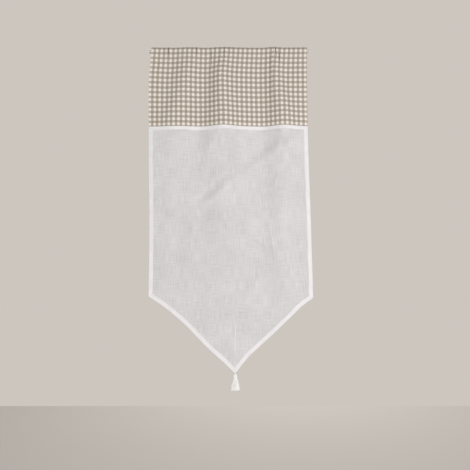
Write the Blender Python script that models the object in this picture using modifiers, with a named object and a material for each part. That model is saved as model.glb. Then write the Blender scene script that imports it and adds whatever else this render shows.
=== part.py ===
"""Cafe curtain with its rod.

A gingham heading hangs on a thin rod by its sewn pocket. A sheer panel cut to a point is joined
below it. White tape covers the join and borders the sheer panel, and a yarn tassel hangs from
the point. Two small wire hooks carry the rod.

Units are metres, +Z is up, +X is to the right and the front faces -Y. The origin lies on the
plane that the hook plates sit on, midway between them and at the height of the rod's axis.
"""

import math

import bmesh
import bpy
import numpy as np
from mathutils import Matrix, Vector

# Rod and hooks
ROD_RADIUS = 0.0065
ROD_HALF_LENGTH = 0.2825
ROD_STANDOFF = 0.0200
ROD_SIDES = 16
PIN_RADIUS = 0.0016
PIN_HALF_LENGTH = 0.2990
PIN_ROUNDING = 0.0006
HOOK_X = 0.2940
HOOK_WIRE_RADIUS = 0.0013
HOOK_RISE = 0.0040
HOOK_ARC_STEPS = 6
PLATE_RADIUS = 0.0042
PLATE_THICKNESS = 0.0015
PLATE_SIDES = 20
SEAT_GAP = 0.0003
HOOK_REACH = PIN_RADIUS + SEAT_GAP + HOOK_WIRE_RADIUS

# Meshes
MERGE_DISTANCE = 0.000001
SCREW_MERGE_DISTANCE = 0.0001
SHARP_ANGLE = math.radians(40)

# Cloth: the flat width, and lengths of cloth measured down from the height of the rod's axis
FLAT_WIDTH = 0.605
JOIN_TAPE_TOP = 0.2820
JOIN_LINE = 0.2885
JOIN_TAPE_BOTTOM = 0.2950
TIP_SHARE = 0.527
TIP_ACROSS = TIP_SHARE * FLAT_WIDTH
CLOTH_END = 1.200
GINGHAM_THICKNESS = 0.0014
SHEER_THICKNESS = 0.0012
TAPE_THICKNESS = 0.0011
TAPE_WIDTH = 0.0150
TAPE_LIFT = 0.0004
BUTT_GAP = 0.0004
MITRE_GAP = 0.0005

# Rod pocket: the cloth rolls over the rod and comes down behind to a hem behind the front layer
POCKET_CLEARANCE = 0.0006
POCKET_DROP = 0.0320
POCKET_GAP = 0.0004
POCKET_RADIUS = ROD_RADIUS + POCKET_CLEARANCE + GINGHAM_THICKNESS / 2
FRONT_Y = -ROD_STANDOFF - POCKET_RADIUS - GINGHAM_THICKNESS / 2
ROLL_STEPS = 8
POCKET_STEPS = 5
POCKET_STRAIGHT_STEPS = 1

# Grid of the cloth: cells across each side of the tip, and rows down each panel
CELLS_LEFT_OF_TIP = 20
CELLS_RIGHT_OF_TIP = 18
GINGHAM_ROWS = 13
GINGHAM_ROW_GROWTH = 1.2
SHEER_ROWS = 15

# Lattice on which the hanging shape is worked out
LATTICE_ACROSS = 121
LATTICE_DOWN = 121
CURVE_SAMPLES = 241

# Side edges as hung: how far down, and where the left and right edges are
EDGE_COLUMNS = ("down", "left", "right")
EDGES = (
    (0.000, -0.2857, 0.2852),
    (0.050, -0.2890, 0.2840),
    (0.110, -0.2935, 0.2842),
    (0.200, -0.2958, 0.2852),
    (0.290, -0.2962, 0.2868),
    (0.450, -0.2958, 0.2915),
    (0.600, -0.2936, 0.2975),
    (0.750, -0.2940, 0.3022),
    (0.910, -0.2960, 0.3068),
    (1.200, -0.2960, 0.3068),
)

# Folds from left to right: where each crest or trough runs at the rod, 0.09 below it, at the
# join and at the corners, and how far it stands forward there, half way down the sheer and at
# the tip's height. The first and last rows are the side edges, whose places come from EDGES.
FOLD_LEVELS_X = (0.0, 0.09, 0.288, 0.90)
FOLD_LEVELS_DEPTH = (0.0, 0.09, 0.288, 0.60, 0.90, 1.20)
FOLD_COLUMNS = ("name", "x_rod", "x_upper", "x_join", "x_corner",
                "d_rod", "d_upper", "d_join", "d_middle", "d_corner", "d_tip")
FOLDS = (
    ("left_edge", 0, 0, 0, 0, 0.0030, 0.0110, -0.0050, -0.0030, 0.0000, 0.0),
    ("trough_1", -0.2130, -0.2205, -0.2570, -0.2535, 0.0000, 0.0010, 0.0030, 0.0030, 0.0010, 0.0),
    ("crest_1", -0.1436, -0.1583, -0.2059, -0.1949, 0.0050, 0.0160, 0.0140, 0.0100, 0.0040, 0.0),
    ("trough_2", -0.0888, -0.0906, -0.1107, -0.1070, 0.0000, 0.0000, 0.0030, 0.0020, 0.0000, 0.0),
    ("crest_2", -0.0119, -0.0284, -0.0174, -0.0119, 0.0080, 0.0270, 0.0350, 0.0250, 0.0070, 0.0),
    ("shoulder_2", 0.0320, 0.0310, 0.0503, 0.0576, 0.0030, 0.0100, 0.0110, 0.0080, 0.0030, 0.0),
    ("trough_3", 0.1199, 0.1199, 0.1180, 0.1199, 0.0000, 0.0000, 0.0010, 0.0000, 0.0000, 0.0),
    ("crest_3", 0.1600, 0.1680, 0.2004, 0.2040, 0.0080, 0.0200, 0.0340, 0.0240, 0.0070, 0.0),
    ("shoulder_3", 0.1990, 0.2110, 0.2516, 0.2553, 0.0020, 0.0070, 0.0190, 0.0130, 0.0040, 0.0),
    ("right_edge", 0, 0, 0, 0, 0.0030, 0.0090, 0.0100, 0.0070, 0.0020, 0.0),
)

# Lower outline of the sheer panel: share of the width from the left, and cloth length down to it
OUTLINE_COLUMNS = ("share", "down")
LEFT_SLANT = (
    (0.000, 0.907),
    (0.070, 0.933),
    (0.190, 0.991),
    (0.370, 1.100),
    (0.527, 1.190),
)
RIGHT_SLANT = (
    (0.527, 1.190),
    (0.600, 1.133),
    (0.700, 1.075),
    (0.860, 0.986),
    (0.940, 0.938),
    (1.000, 0.911),
)

# Tassel: head sections from the roots of the locks up to the top, then the skirt of locks
TASSEL_CELLS = 7
TASSEL_DEPTH_RATIO = 0.85
TASSEL_HEAD_COLUMNS = ("below_tip", "radius")
TASSEL_HEAD = (
    (0.0160, 0.0078),
    (0.0148, 0.0074),
    (0.0140, 0.0070),
    (0.0112, 0.0070),
    (0.0104, 0.0062),
    (0.0070, 0.0064),
    (0.0036, 0.0050),
    (0.0014, 0.0034),
    (0.0004, 0.0020),
)
LOCK_PARTING = 0.00022
LOCK_STEPS = 3
LOCK_FALL = 0.0440
LOCK_FLARE = 1.4
LOCK_FLARE_POWER = 1.8
LOCK_TAPER = 0.12
LOCK_UNEVENNESS = 0.0030
LOCK_WAVES_ROUND = 5
LOCK_WAVES_OUT = 9

GINGHAM_COLOUR = (0.51, 0.45, 0.39)
SHEER_COLOUR = (0.68, 0.66, 0.65)
TAPE_COLOUR = (0.82, 0.78, 0.76)
YARN_COLOUR = (0.80, 0.77, 0.75)
METAL_COLOUR = (0.80, 0.79, 0.77)


def clear_scene():
    for item in list(bpy.data.objects):
        bpy.data.objects.remove(item, do_unlink=True)


def make_material(name, colour, roughness, metallic=0.0):
    material = bpy.data.materials.new(name)
    material.use_nodes = True
    shader = material.node_tree.nodes["Principled BSDF"]
    shader.inputs["Base Color"].default_value = (*colour, 1.0)
    shader.inputs["Roughness"].default_value = roughness
    shader.inputs["Metallic"].default_value = metallic
    return material


def add_object(name, data, collection, material, parent):
    data.materials.append(material)
    item = bpy.data.objects.new(name, data)
    collection.objects.link(item)
    item.parent = parent
    return item


def monotone_curve(knots, values, at):
    """Smooth curve through the knots that makes no crest or trough between them."""
    knots = np.asarray(knots, dtype=float)
    values = np.asarray(values, dtype=float)
    at = np.clip(at, knots[0], knots[-1])
    steps = np.diff(knots)
    rises = np.diff(values) / steps
    slopes = np.zeros_like(values)
    same_way = rises[:-1] * rises[1:] > 0
    before = rises[:-1][same_way]
    after = rises[1:][same_way]
    slopes[1:-1][same_way] = 2 * before * after / (before + after)
    slopes[0] = rises[0]
    slopes[-1] = rises[-1]
    cell = np.clip(np.searchsorted(knots, at, side="right") - 1, 0, len(steps) - 1)
    t = (at - knots[cell]) / steps[cell]
    start = values[cell] + t * t * (3 - 2 * t) * (values[cell + 1] - values[cell])
    bend = slopes[cell] * (1 - t) ** 2 * t - slopes[cell + 1] * t * t * (1 - t)
    return start + bend * steps[cell]


def column(table, names, name):
    place = names.index(name)
    return [row[place] for row in table]


def fold_line(row, prefix, levels, down):
    """One fold's place across (prefix x_) or its depth (prefix d_) at a height."""
    values = [row[i] for i, name in enumerate(FOLD_COLUMNS) if name.startswith(prefix)]
    return float(monotone_curve(levels, values, down))


def crosswise_curve(down):
    """Shares of the width along the cloth, with the place across and the depth of each."""
    drops = column(EDGES, EDGE_COLUMNS, "down")
    left = float(monotone_curve(drops, column(EDGES, EDGE_COLUMNS, "left"), down))
    right = float(monotone_curve(drops, column(EDGES, EDGE_COLUMNS, "right"), down))
    inner = [fold_line(row, "x_", FOLD_LEVELS_X, down) for row in FOLDS[1:-1]]
    depths = [fold_line(row, "d_", FOLD_LEVELS_DEPTH, down) for row in FOLDS]
    across = np.linspace(left, right, CURVE_SAMPLES)
    depth = monotone_curve([left, *inner, right], depths, across)
    lengths = np.hypot(np.diff(across), np.diff(depth))
    share = np.concatenate(([0.0], np.cumsum(lengths)))
    return share / share[-1], across, depth


def hang_cloth():
    """Lattices of the front face's X, depth and Z, by share across and by length down."""
    shares = np.linspace(0.0, 1.0, LATTICE_ACROSS)
    drops = np.linspace(0.0, CLOTH_END, LATTICE_DOWN)
    across = np.zeros((LATTICE_DOWN, LATTICE_ACROSS))
    depth = np.zeros_like(across)
    height = np.zeros_like(across)
    for i, down in enumerate(drops):
        share, x, d = crosswise_curve(down)
        across[i] = np.interp(shares, share, x)
        depth[i] = np.interp(shares, share, d)
    step = drops[1] - drops[0]
    fall = np.sqrt(step ** 2 - np.diff(depth, axis=0) ** 2 - np.diff(across, axis=0) ** 2)
    height[1:] = -np.cumsum(fall, axis=0)
    return across, depth, height


LATTICE = hang_cloth()


def read_lattice(table, share, down):
    column_at = min(max(share, 0.0), 1.0) * (LATTICE_ACROSS - 1)
    row_at = min(max(down / CLOTH_END, 0.0), 1.0) * (LATTICE_DOWN - 1)
    i = min(int(row_at), LATTICE_DOWN - 2)
    j = min(int(column_at), LATTICE_ACROSS - 2)
    s = column_at - j
    t = row_at - i
    upper = table[i, j] * (1 - s) + table[i, j + 1] * s
    lower = table[i + 1, j] * (1 - s) + table[i + 1, j + 1] * s
    return upper * (1 - t) + lower * t


def front_point(across, down):
    """Point on the cloth's front face: across is a flat length from the left edge."""
    share = across / FLAT_WIDTH
    x, depth, z = (read_lattice(table, share, down) for table in LATTICE)
    return Vector((x, FRONT_Y - depth, z))


def grid_columns():
    """Flat lengths across: a tape's width at each side, and a line through the tip."""
    left = np.linspace(TAPE_WIDTH, TIP_ACROSS, CELLS_LEFT_OF_TIP + 1)
    right = np.linspace(TIP_ACROSS, FLAT_WIDTH - TAPE_WIDTH, CELLS_RIGHT_OF_TIP + 1)
    return [0.0, *left.tolist(), *right[1:].tolist(), FLAT_WIDTH]


def outline_down(across):
    """Length down to the lower outline."""
    share = across / FLAT_WIDTH
    side = LEFT_SLANT if share <= TIP_SHARE else RIGHT_SLANT
    shares = column(side, OUTLINE_COLUMNS, "share")
    return float(monotone_curve(shares, column(side, OUTLINE_COLUMNS, "down"), share))


def border_down(across):
    """Length down to the upper edge of the tape that borders the lower outline."""
    reach = TAPE_WIDTH / 2
    low = max(across - reach, 0.0)
    high = min(across + reach, FLAT_WIDTH)
    if abs(across - TIP_ACROSS) < reach:
        low = TIP_ACROSS - TAPE_WIDTH
        high = TIP_ACROSS
    slope = (outline_down(high) - outline_down(low)) / (high - low)
    return outline_down(across) - TAPE_WIDTH * math.hypot(1.0, slope)


def finish_mesh(name, bm):
    mesh = bpy.data.meshes.new(name)
    bm.to_mesh(mesh)
    bm.free()
    mesh.shade_smooth()
    mesh.set_sharp_from_angle(angle=SHARP_ANGLE)
    return mesh


def sheet_mesh(name, front, back):
    """Closed sheet between two equal grids of points, given row by row from the lowest up."""
    rows = len(front) - 1
    cells = len(front[0]) - 1
    bm = bmesh.new()
    bmesh.ops.create_grid(bm, x_segments=cells, y_segments=rows, size=0.5)
    shift = bm.verts.layers.float_vector.new("shift")
    for vert in bm.verts:
        i = round((vert.co.y + 0.5) * rows)
        j = round((vert.co.x + 0.5) * cells)
        vert.co = front[i][j]
        vert[shift] = back[i][j] - front[i][j]
    bmesh.ops.remove_doubles(bm, verts=bm.verts[:], dist=MERGE_DISTANCE)
    bmesh.ops.triangulate(bm, faces=bm.faces[:], quad_method="FIXED")
    grown = bmesh.ops.extrude_face_region(bm, geom=bm.faces[:], use_keep_orig=True)["geom"]
    for item in grown:
        if isinstance(item, bmesh.types.BMVert):
            item.co += item[shift]
    bm.verts.layers.float_vector.remove(shift)
    bmesh.ops.recalc_face_normals(bm, faces=bm.faces[:])
    return finish_mesh(name, bm)


def flat_sheet(name, rows, thickness, lift=0.0):
    """Sheet whose front face runs through the rows of (across, down), lifted towards -Y."""
    front = [[front_point(*place) - Vector((0, lift, 0)) for place in row] for row in rows]
    back = [[point + Vector((0, thickness, 0)) for point in row] for row in front]
    return sheet_mesh(name, front, back)


def tape_sheet(name, rows):
    return flat_sheet(name, rows, TAPE_THICKNESS, TAPE_LIFT + TAPE_THICKNESS)


def gingham_rows():
    """Lengths down of the heading's rows, closer together near the rod."""
    upper = [JOIN_TAPE_TOP * (i / GINGHAM_ROWS) ** GINGHAM_ROW_GROWTH
             for i in range(1, GINGHAM_ROWS + 1)]
    return [*upper, JOIN_LINE - BUTT_GAP / 2]


def pocket_section(across):
    """Outer and inner points of the roll over the rod and of the layer behind it."""
    half = GINGHAM_THICKNESS / 2
    front = front_point(across, 0.0)
    bulge_at_front = -ROD_STANDOFF - front.y - half - POCKET_RADIUS
    outer = []
    inner = []
    for i in range(ROLL_STEPS + 1):
        angle = math.pi * i / ROLL_STEPS
        bulge = bulge_at_front * math.cos(angle / 2) ** 2
        y = -ROD_STANDOFF - (POCKET_RADIUS + bulge) * math.cos(angle)
        centre = Vector((front.x, y, POCKET_RADIUS * math.sin(angle)))
        outward = Vector((0, -math.cos(angle), math.sin(angle))) * half
        outer.append(centre + outward)
        inner.append(centre - outward)
    hem = front_point(across, POCKET_DROP)
    start_y = -ROD_STANDOFF + POCKET_RADIUS
    end_y = hem.y + GINGHAM_THICKNESS + POCKET_GAP + half
    for i in range(1, POCKET_STEPS + 1):
        t = i / POCKET_STEPS
        lean = (i - POCKET_STRAIGHT_STEPS) / (POCKET_STEPS - POCKET_STRAIGHT_STEPS)
        ease = lean * lean * (3 - 2 * lean)
        x = front.x + (hem.x - front.x) * t
        centre = Vector((x, start_y + (end_y - start_y) * ease, hem.z * t))
        outer.append(centre + Vector((0, half, 0)))
        inner.append(centre - Vector((0, half, 0)))
    return outer, inner


def gingham_mesh():
    across = grid_columns()
    thickness = Vector((0, GINGHAM_THICKNESS, 0))
    outer_rows = [[front_point(s, down) for s in across] for down in reversed(gingham_rows())]
    inner_rows = [[point + thickness for point in row] for row in outer_rows]
    sections = [pocket_section(s) for s in across]
    for i in range(ROLL_STEPS + POCKET_STEPS + 1):
        outer_rows.append([outer[i] for outer, inner in sections])
        inner_rows.append([inner[i] for outer, inner in sections])
    return sheet_mesh("gingham_panel", outer_rows, inner_rows)


def sheer_row(across, row):
    """Places along a row of the sheer between the join tape, row 0, and the border."""
    t = row / SHEER_ROWS
    return [(s, JOIN_TAPE_BOTTOM + (border_down(s) - JOIN_TAPE_BOTTOM) * t) for s in across]


def sheer_mesh():
    across = grid_columns()
    rows = [[(s, outline_down(s)) for s in across]]
    rows.extend(sheer_row(across, row) for row in range(SHEER_ROWS, -1, -1))
    rows.append([(s, JOIN_LINE + BUTT_GAP / 2) for s in across])
    return flat_sheet("sheer_panel", rows, SHEER_THICKNESS)


def join_tape_mesh():
    """Band over the join, its ends cut on the mitres that meet the side tapes."""
    inside = grid_columns()[1:-1]
    rows = []
    for down in (JOIN_TAPE_BOTTOM, JOIN_LINE, JOIN_TAPE_TOP):
        mitre = TAPE_WIDTH * (down - JOIN_TAPE_TOP) / (JOIN_TAPE_BOTTOM - JOIN_TAPE_TOP)
        rows.append([(mitre, down), *[(s, down) for s in inside], (FLAT_WIDTH - mitre, down)])
    return tape_sheet("tape_join", rows)


def side_tape_mesh(name, outside, inside):
    """Tape down one side edge, both ends cut on the mitres."""
    lowest = [(outside, outline_down(outside) - MITRE_GAP)]
    lowest.append((inside, border_down(inside) - MITRE_GAP))
    highest = [(outside, JOIN_TAPE_TOP + MITRE_GAP)]
    highest.append((inside, JOIN_TAPE_BOTTOM + MITRE_GAP))
    between = [sheer_row((outside, inside), row) for row in range(SHEER_ROWS - 1, 0, -1)]
    rows = [lowest, *between, highest]
    if inside < outside:
        rows = [row[::-1] for row in rows]
    return tape_sheet(name, rows)


def point_tape_mesh(name, stations, tip_end):
    """Tape along one slant of the lower outline. tip_end is the station that lies at the tip."""
    lower = [(s, outline_down(s)) for s in stations]
    upper = []
    for s in stations:
        inner = min(max(s, TAPE_WIDTH), FLAT_WIDTH - TAPE_WIDTH)
        upper.append((inner, border_down(inner)))
    side = 1 if max(stations) > TIP_ACROSS else -1
    beside_tip = TIP_ACROSS + side * MITRE_GAP / 2
    lower[tip_end] = (beside_tip, outline_down(beside_tip))
    upper[tip_end] = (beside_tip, border_down(TIP_ACROSS))
    return tape_sheet(name, [lower, upper])


def tassel_section(bm, centre, drop, radius):
    """Grid of cells in a flattened disc, which becomes the underside of the head."""
    bmesh.ops.create_grid(bm, x_segments=TASSEL_CELLS, y_segments=TASSEL_CELLS, size=1.0)
    for vert in bm.verts:
        a, b = vert.co.x, vert.co.y
        x = a * math.sqrt(1 - b * b / 2) * radius
        y = b * math.sqrt(1 - a * a / 2) * radius * TASSEL_DEPTH_RATIO
        vert.co = centre + Vector((x, y, -drop))
    return bm.faces[:]


def raise_head(bm, centre):
    """Draws the rim of the underside up through the head's sections and closes the top."""
    rim = [edge for edge in bm.edges if edge.is_boundary]
    drops = column(TASSEL_HEAD, TASSEL_HEAD_COLUMNS, "below_tip")
    radii = column(TASSEL_HEAD, TASSEL_HEAD_COLUMNS, "radius")
    for drop, radius_below, radius in zip(drops[1:], radii, radii[1:]):
        grown = bmesh.ops.extrude_edge_only(bm, edges=rim)["geom"]
        rim = [item for item in grown if isinstance(item, bmesh.types.BMEdge)]
        for item in grown:
            if isinstance(item, bmesh.types.BMVert):
                offset = (item.co - centre) * radius / radius_below
                item.co = centre + Vector((offset.x, offset.y, -drop))
    bmesh.ops.contextual_create(bm, geom=rim)


def lock_spread(t):
    """How far the skirt has opened at a share t of the way down, 1 at the roots."""
    return 1 + LOCK_FLARE * (1 - (1 - t) ** LOCK_FLARE_POWER)


def grow_locks(bm, cells, centre):
    """Grows one lock from each cell, opening out and ending at uneven heights."""
    for step in range(1, LOCK_STEPS + 1):
        before = (step - 1) / LOCK_STEPS
        after = step / LOCK_STEPS
        cells = bmesh.ops.extrude_discrete_faces(bm, faces=cells)["faces"]
        opening = lock_spread(after) / lock_spread(before)
        taper = (1 - LOCK_TAPER * after) / (1 - LOCK_TAPER * before)
        for face in cells:
            middle = face.calc_center_median()
            out = Vector((middle.x - centre.x, middle.y - centre.y, 0))
            turn = math.atan2(out.y, out.x)
            ring = out.length / lock_spread(before) / TASSEL_HEAD[0][1]
            wave = math.sin(LOCK_WAVES_ROUND * turn + LOCK_WAVES_OUT * ring)
            fall = (LOCK_FALL + wave * LOCK_UNEVENNESS) / LOCK_STEPS
            new_middle = middle + out * (opening - 1) - Vector((0, 0, fall))
            for vert in face.verts:
                vert.co = new_middle + (vert.co - middle) * opening * taper


def tassel_mesh():
    """Bound head and a skirt of separate locks that grow from its underside."""
    tip = front_point(TIP_ACROSS, outline_down(TIP_ACROSS))
    centre = Vector((tip.x, tip.y + SHEER_THICKNESS / 2, tip.z))
    bm = bmesh.new()
    cells = tassel_section(bm, centre, *TASSEL_HEAD[0])
    raise_head(bm, centre)
    bmesh.ops.inset_individual(bm, faces=cells, thickness=LOCK_PARTING, use_even_offset=True)
    grow_locks(bm, cells, centre)
    bmesh.ops.recalc_face_normals(bm, faces=bm.faces[:])
    return finish_mesh("tassel", bm)


def rod_mesh():
    """Half outline of the rod, from the top of its turning axis down the outer side."""
    bevel = PIN_ROUNDING
    upper = (
        (0.0, PIN_HALF_LENGTH),
        (PIN_RADIUS - bevel, PIN_HALF_LENGTH),
        (PIN_RADIUS, PIN_HALF_LENGTH - bevel),
        (PIN_RADIUS, ROD_HALF_LENGTH),
        (ROD_RADIUS - bevel, ROD_HALF_LENGTH),
        (ROD_RADIUS, ROD_HALF_LENGTH - bevel),
    )
    lower = [(radius, -height) for radius, height in reversed(upper)]
    outline = [(radius, 0.0, height) for radius, height in (*upper, *lower)]
    edges = [(i, i + 1) for i in range(len(outline) - 1)]
    mesh = bpy.data.meshes.new("rod")
    mesh.from_pydata(outline, edges, [])
    return mesh


def build_rod(collection, material, parent):
    rod = add_object("rod", rod_mesh(), collection, material, parent)
    rod.location = (0, -ROD_STANDOFF, 0)
    rod.rotation_euler = (0, math.pi / 2, 0)
    turn = rod.modifiers.new("Turn", "SCREW")
    turn.steps = ROD_SIDES
    turn.render_steps = ROD_SIDES
    turn.use_merge_vertices = True
    turn.merge_threshold = SCREW_MERGE_DISTANCE
    turn.use_smooth_shade = True
    return rod


def hook_route(x):
    """Centre line of a hook's wire: forward from the plate, round the pin's front and up."""
    route = [Vector((x, -PLATE_THICKNESS / 2, -HOOK_REACH))]
    for i in range(HOOK_ARC_STEPS + 1):
        angle = math.pi / 2 * i / HOOK_ARC_STEPS
        y = -ROD_STANDOFF - HOOK_REACH * math.sin(angle)
        route.append(Vector((x, y, -HOOK_REACH * math.cos(angle))))
    route.append(Vector((x, -ROD_STANDOFF - HOOK_REACH, HOOK_RISE)))
    return route


def wire_mesh(name, route, radius):
    """Round wire along the route as a closed mesh."""
    curve = bpy.data.curves.new(name, "CURVE")
    curve.dimensions = "3D"
    curve.bevel_depth = radius
    curve.bevel_resolution = 2
    curve.use_fill_caps = True
    spline = curve.splines.new("POLY")
    spline.points.add(len(route) - 1)
    for point, place in zip(spline.points, route):
        point.co = (*place, 1.0)
    guide = bpy.data.objects.new(name, curve)
    bpy.context.scene.collection.objects.link(guide)
    depsgraph = bpy.context.evaluated_depsgraph_get()
    mesh = bpy.data.meshes.new_from_object(guide.evaluated_get(depsgraph))
    bpy.data.objects.remove(guide, do_unlink=True)
    bm = bmesh.new()
    bm.from_mesh(mesh)
    bmesh.ops.remove_doubles(bm, verts=bm.verts[:], dist=MERGE_DISTANCE)
    return finish_mesh(name, bm)


def plate_mesh(name):
    """Round plate with its axis along Y."""
    bm = bmesh.new()
    bmesh.ops.create_cone(bm, cap_ends=True, segments=PLATE_SIDES, radius1=PLATE_RADIUS,
                          radius2=PLATE_RADIUS, depth=PLATE_THICKNESS,
                          matrix=Matrix.Rotation(math.pi / 2, 4, "X"))
    return finish_mesh(name, bm)


def build_hook(name, x, collection, cutters, material, parent):
    """Bent wire united with the plate that it stands on."""
    mesh = wire_mesh(name, hook_route(x), HOOK_WIRE_RADIUS)
    hook = add_object(name, mesh, collection, material, parent)
    plate = bpy.data.objects.new(name + "_plate", plate_mesh(name + "_plate"))
    plate.location = (x, -PLATE_THICKNESS / 2, -HOOK_REACH)
    plate.hide_render = True
    plate.display_type = "WIRE"
    cutters.objects.link(plate)
    join = hook.modifiers.new("Plate", "BOOLEAN")
    join.operation = "UNION"
    join.object = plate
    return hook


def make_collection(name):
    collection = bpy.data.collections.new(name)
    bpy.context.scene.collection.children.link(collection)
    return collection


def build_cloth(collection, parent):
    gingham = make_material("gingham_cotton", GINGHAM_COLOUR, 0.85)
    sheer = make_material("sheer_linen", SHEER_COLOUR, 0.80)
    tape = make_material("white_tape", TAPE_COLOUR, 0.80)
    yarn = make_material("tassel_yarn", YARN_COLOUR, 0.90)
    stations = grid_columns()
    tip_at = stations.index(TIP_ACROSS)
    pieces = (
        (gingham_mesh(), gingham),
        (sheer_mesh(), sheer),
        (join_tape_mesh(), tape),
        (side_tape_mesh("tape_left", 0.0, TAPE_WIDTH), tape),
        (side_tape_mesh("tape_right", FLAT_WIDTH, FLAT_WIDTH - TAPE_WIDTH), tape),
        (point_tape_mesh("tape_point_left", stations[:tip_at + 1], -1), tape),
        (point_tape_mesh("tape_point_right", stations[tip_at:], 0), tape),
        (tassel_mesh(), yarn),
    )
    for mesh, material in pieces:
        add_object(mesh.name, mesh, collection, material, parent)


def build_curtain():
    clear_scene()
    parts = make_collection("cafe_curtain")
    cutters = make_collection("cutters")
    origin = bpy.data.objects.new("curtain_origin", None)
    parts.objects.link(origin)
    metal = make_material("white_metal", METAL_COLOUR, 0.35)
    build_rod(parts, metal, origin)
    build_hook("hook_left", -HOOK_X, parts, cutters, metal, origin)
    build_hook("hook_right", HOOK_X, parts, cutters, metal, origin)
    build_cloth(parts, origin)


build_curtain()
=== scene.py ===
"""Looks of the cafe curtain: thin cloth on the folds of its solids, tapes, sewing, tassel and rod.

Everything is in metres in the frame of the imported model: +Z up, +X to the right, front to -Y.
Each sheet is drawn from the same hanging shape as the solids, with finer folds and creases of its
own. A place on the cloth is given by its flat lengths: across from the left edge, and down from
the height of the rod's axis.
"""

import math

import bmesh
import bpy
import numpy as np
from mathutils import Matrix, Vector


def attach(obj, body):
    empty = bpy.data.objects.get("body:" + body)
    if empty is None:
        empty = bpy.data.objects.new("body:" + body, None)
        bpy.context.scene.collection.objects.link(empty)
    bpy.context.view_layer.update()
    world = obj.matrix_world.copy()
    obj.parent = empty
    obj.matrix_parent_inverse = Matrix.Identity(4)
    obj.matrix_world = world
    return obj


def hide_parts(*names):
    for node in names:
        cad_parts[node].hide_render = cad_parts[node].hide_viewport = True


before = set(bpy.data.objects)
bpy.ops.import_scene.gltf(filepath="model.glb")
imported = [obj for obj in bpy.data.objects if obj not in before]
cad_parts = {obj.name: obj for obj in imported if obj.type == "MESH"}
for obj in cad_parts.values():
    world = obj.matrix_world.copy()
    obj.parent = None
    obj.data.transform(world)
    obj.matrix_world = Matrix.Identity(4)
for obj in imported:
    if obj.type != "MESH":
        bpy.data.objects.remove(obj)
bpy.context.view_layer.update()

SEED = 7
TURN = 2 * math.pi

# Sizes shared with the solids
ROD_RADIUS = 0.0065
ROD_HALF_LENGTH = 0.2825
ROD_STANDOFF = 0.0200
PIN_RADIUS = 0.0016
PIN_HALF_LENGTH = 0.2990
HOOK_X = 0.2940
HOOK_WIRE_RADIUS = 0.0013
HOOK_RISE = 0.0040
HOOK_REACH = 0.0032
PLATE_RADIUS = 0.0042
PLATE_THICKNESS = 0.0015
FLAT_WIDTH = 0.605
JOIN_TAPE_TOP = 0.2820
JOIN_LINE = 0.2885
JOIN_TAPE_BOTTOM = 0.2950
TIP_SHARE = 0.527
TIP_ACROSS = TIP_SHARE * FLAT_WIDTH
CLOTH_END = 1.200
TAPE_WIDTH = 0.0150
POCKET_RADIUS = 0.0078
POCKET_HALF_THICKNESS = 0.0007
POCKET_DROP = 0.0320
FRONT_Y = -0.0285

# Sizes of the cloth as it shows
GINGHAM_THICKNESS = 0.0006
GINGHAM_HEM_EXTRA = 0.0006
GINGHAM_HEM_WIDTH = 0.0095
HEM_STEP = 0.0016
POCKET_GAP = 0.0003
ROLL_LIFT = 0.0010
ROLL_RISE = 0.30
POCKET_EASE = (0.15, 0.70)
HEM_TURN = (0.68, 0.06)
SHEER_THICKNESS = 0.0004
SHEER_TURN_UP = 0.0060
LAYER_GAP = 0.0001
TUCK_REACH = 0.0040
COTTON_FADE = 0.0400
TAPE_LIFT = 0.0001
TAPE_THICKNESS = 0.0009
MITRE_GAP = 0.0002
MITRE_REACH = 0.0300

# Grids
CURVE_SAMPLES = 481
LATTICE_ACROSS = 606
LATTICE_DOWN = 601
GINGHAM_CELLS_ACROSS = 344
GINGHAM_ROWS = 98
CREASE_CLOSENESS = 1.8
CREASE_REACH = 0.0075
ROLL_STEPS = 14
POCKET_ROWS = 14
SHEER_CELLS_ACROSS = 204
SHEER_ROWS = 220
SHEER_ROW_POWER = 1.02
FINE_STEPS = 16
PRESSED_CLOSENESS = 3.5
PRESSED_REACH = 0.0060

# Side edges as hung: how far down, and where the left and right edges are
EDGES = (
    (0.000, -0.2857, 0.2852),
    (0.050, -0.2890, 0.2840),
    (0.110, -0.2935, 0.2842),
    (0.200, -0.2958, 0.2852),
    (0.290, -0.2962, 0.2868),
    (0.450, -0.2958, 0.2915),
    (0.600, -0.2936, 0.2975),
    (0.750, -0.2940, 0.3022),
    (0.910, -0.2960, 0.3068),
    (1.200, -0.2960, 0.3068),
)

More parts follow.
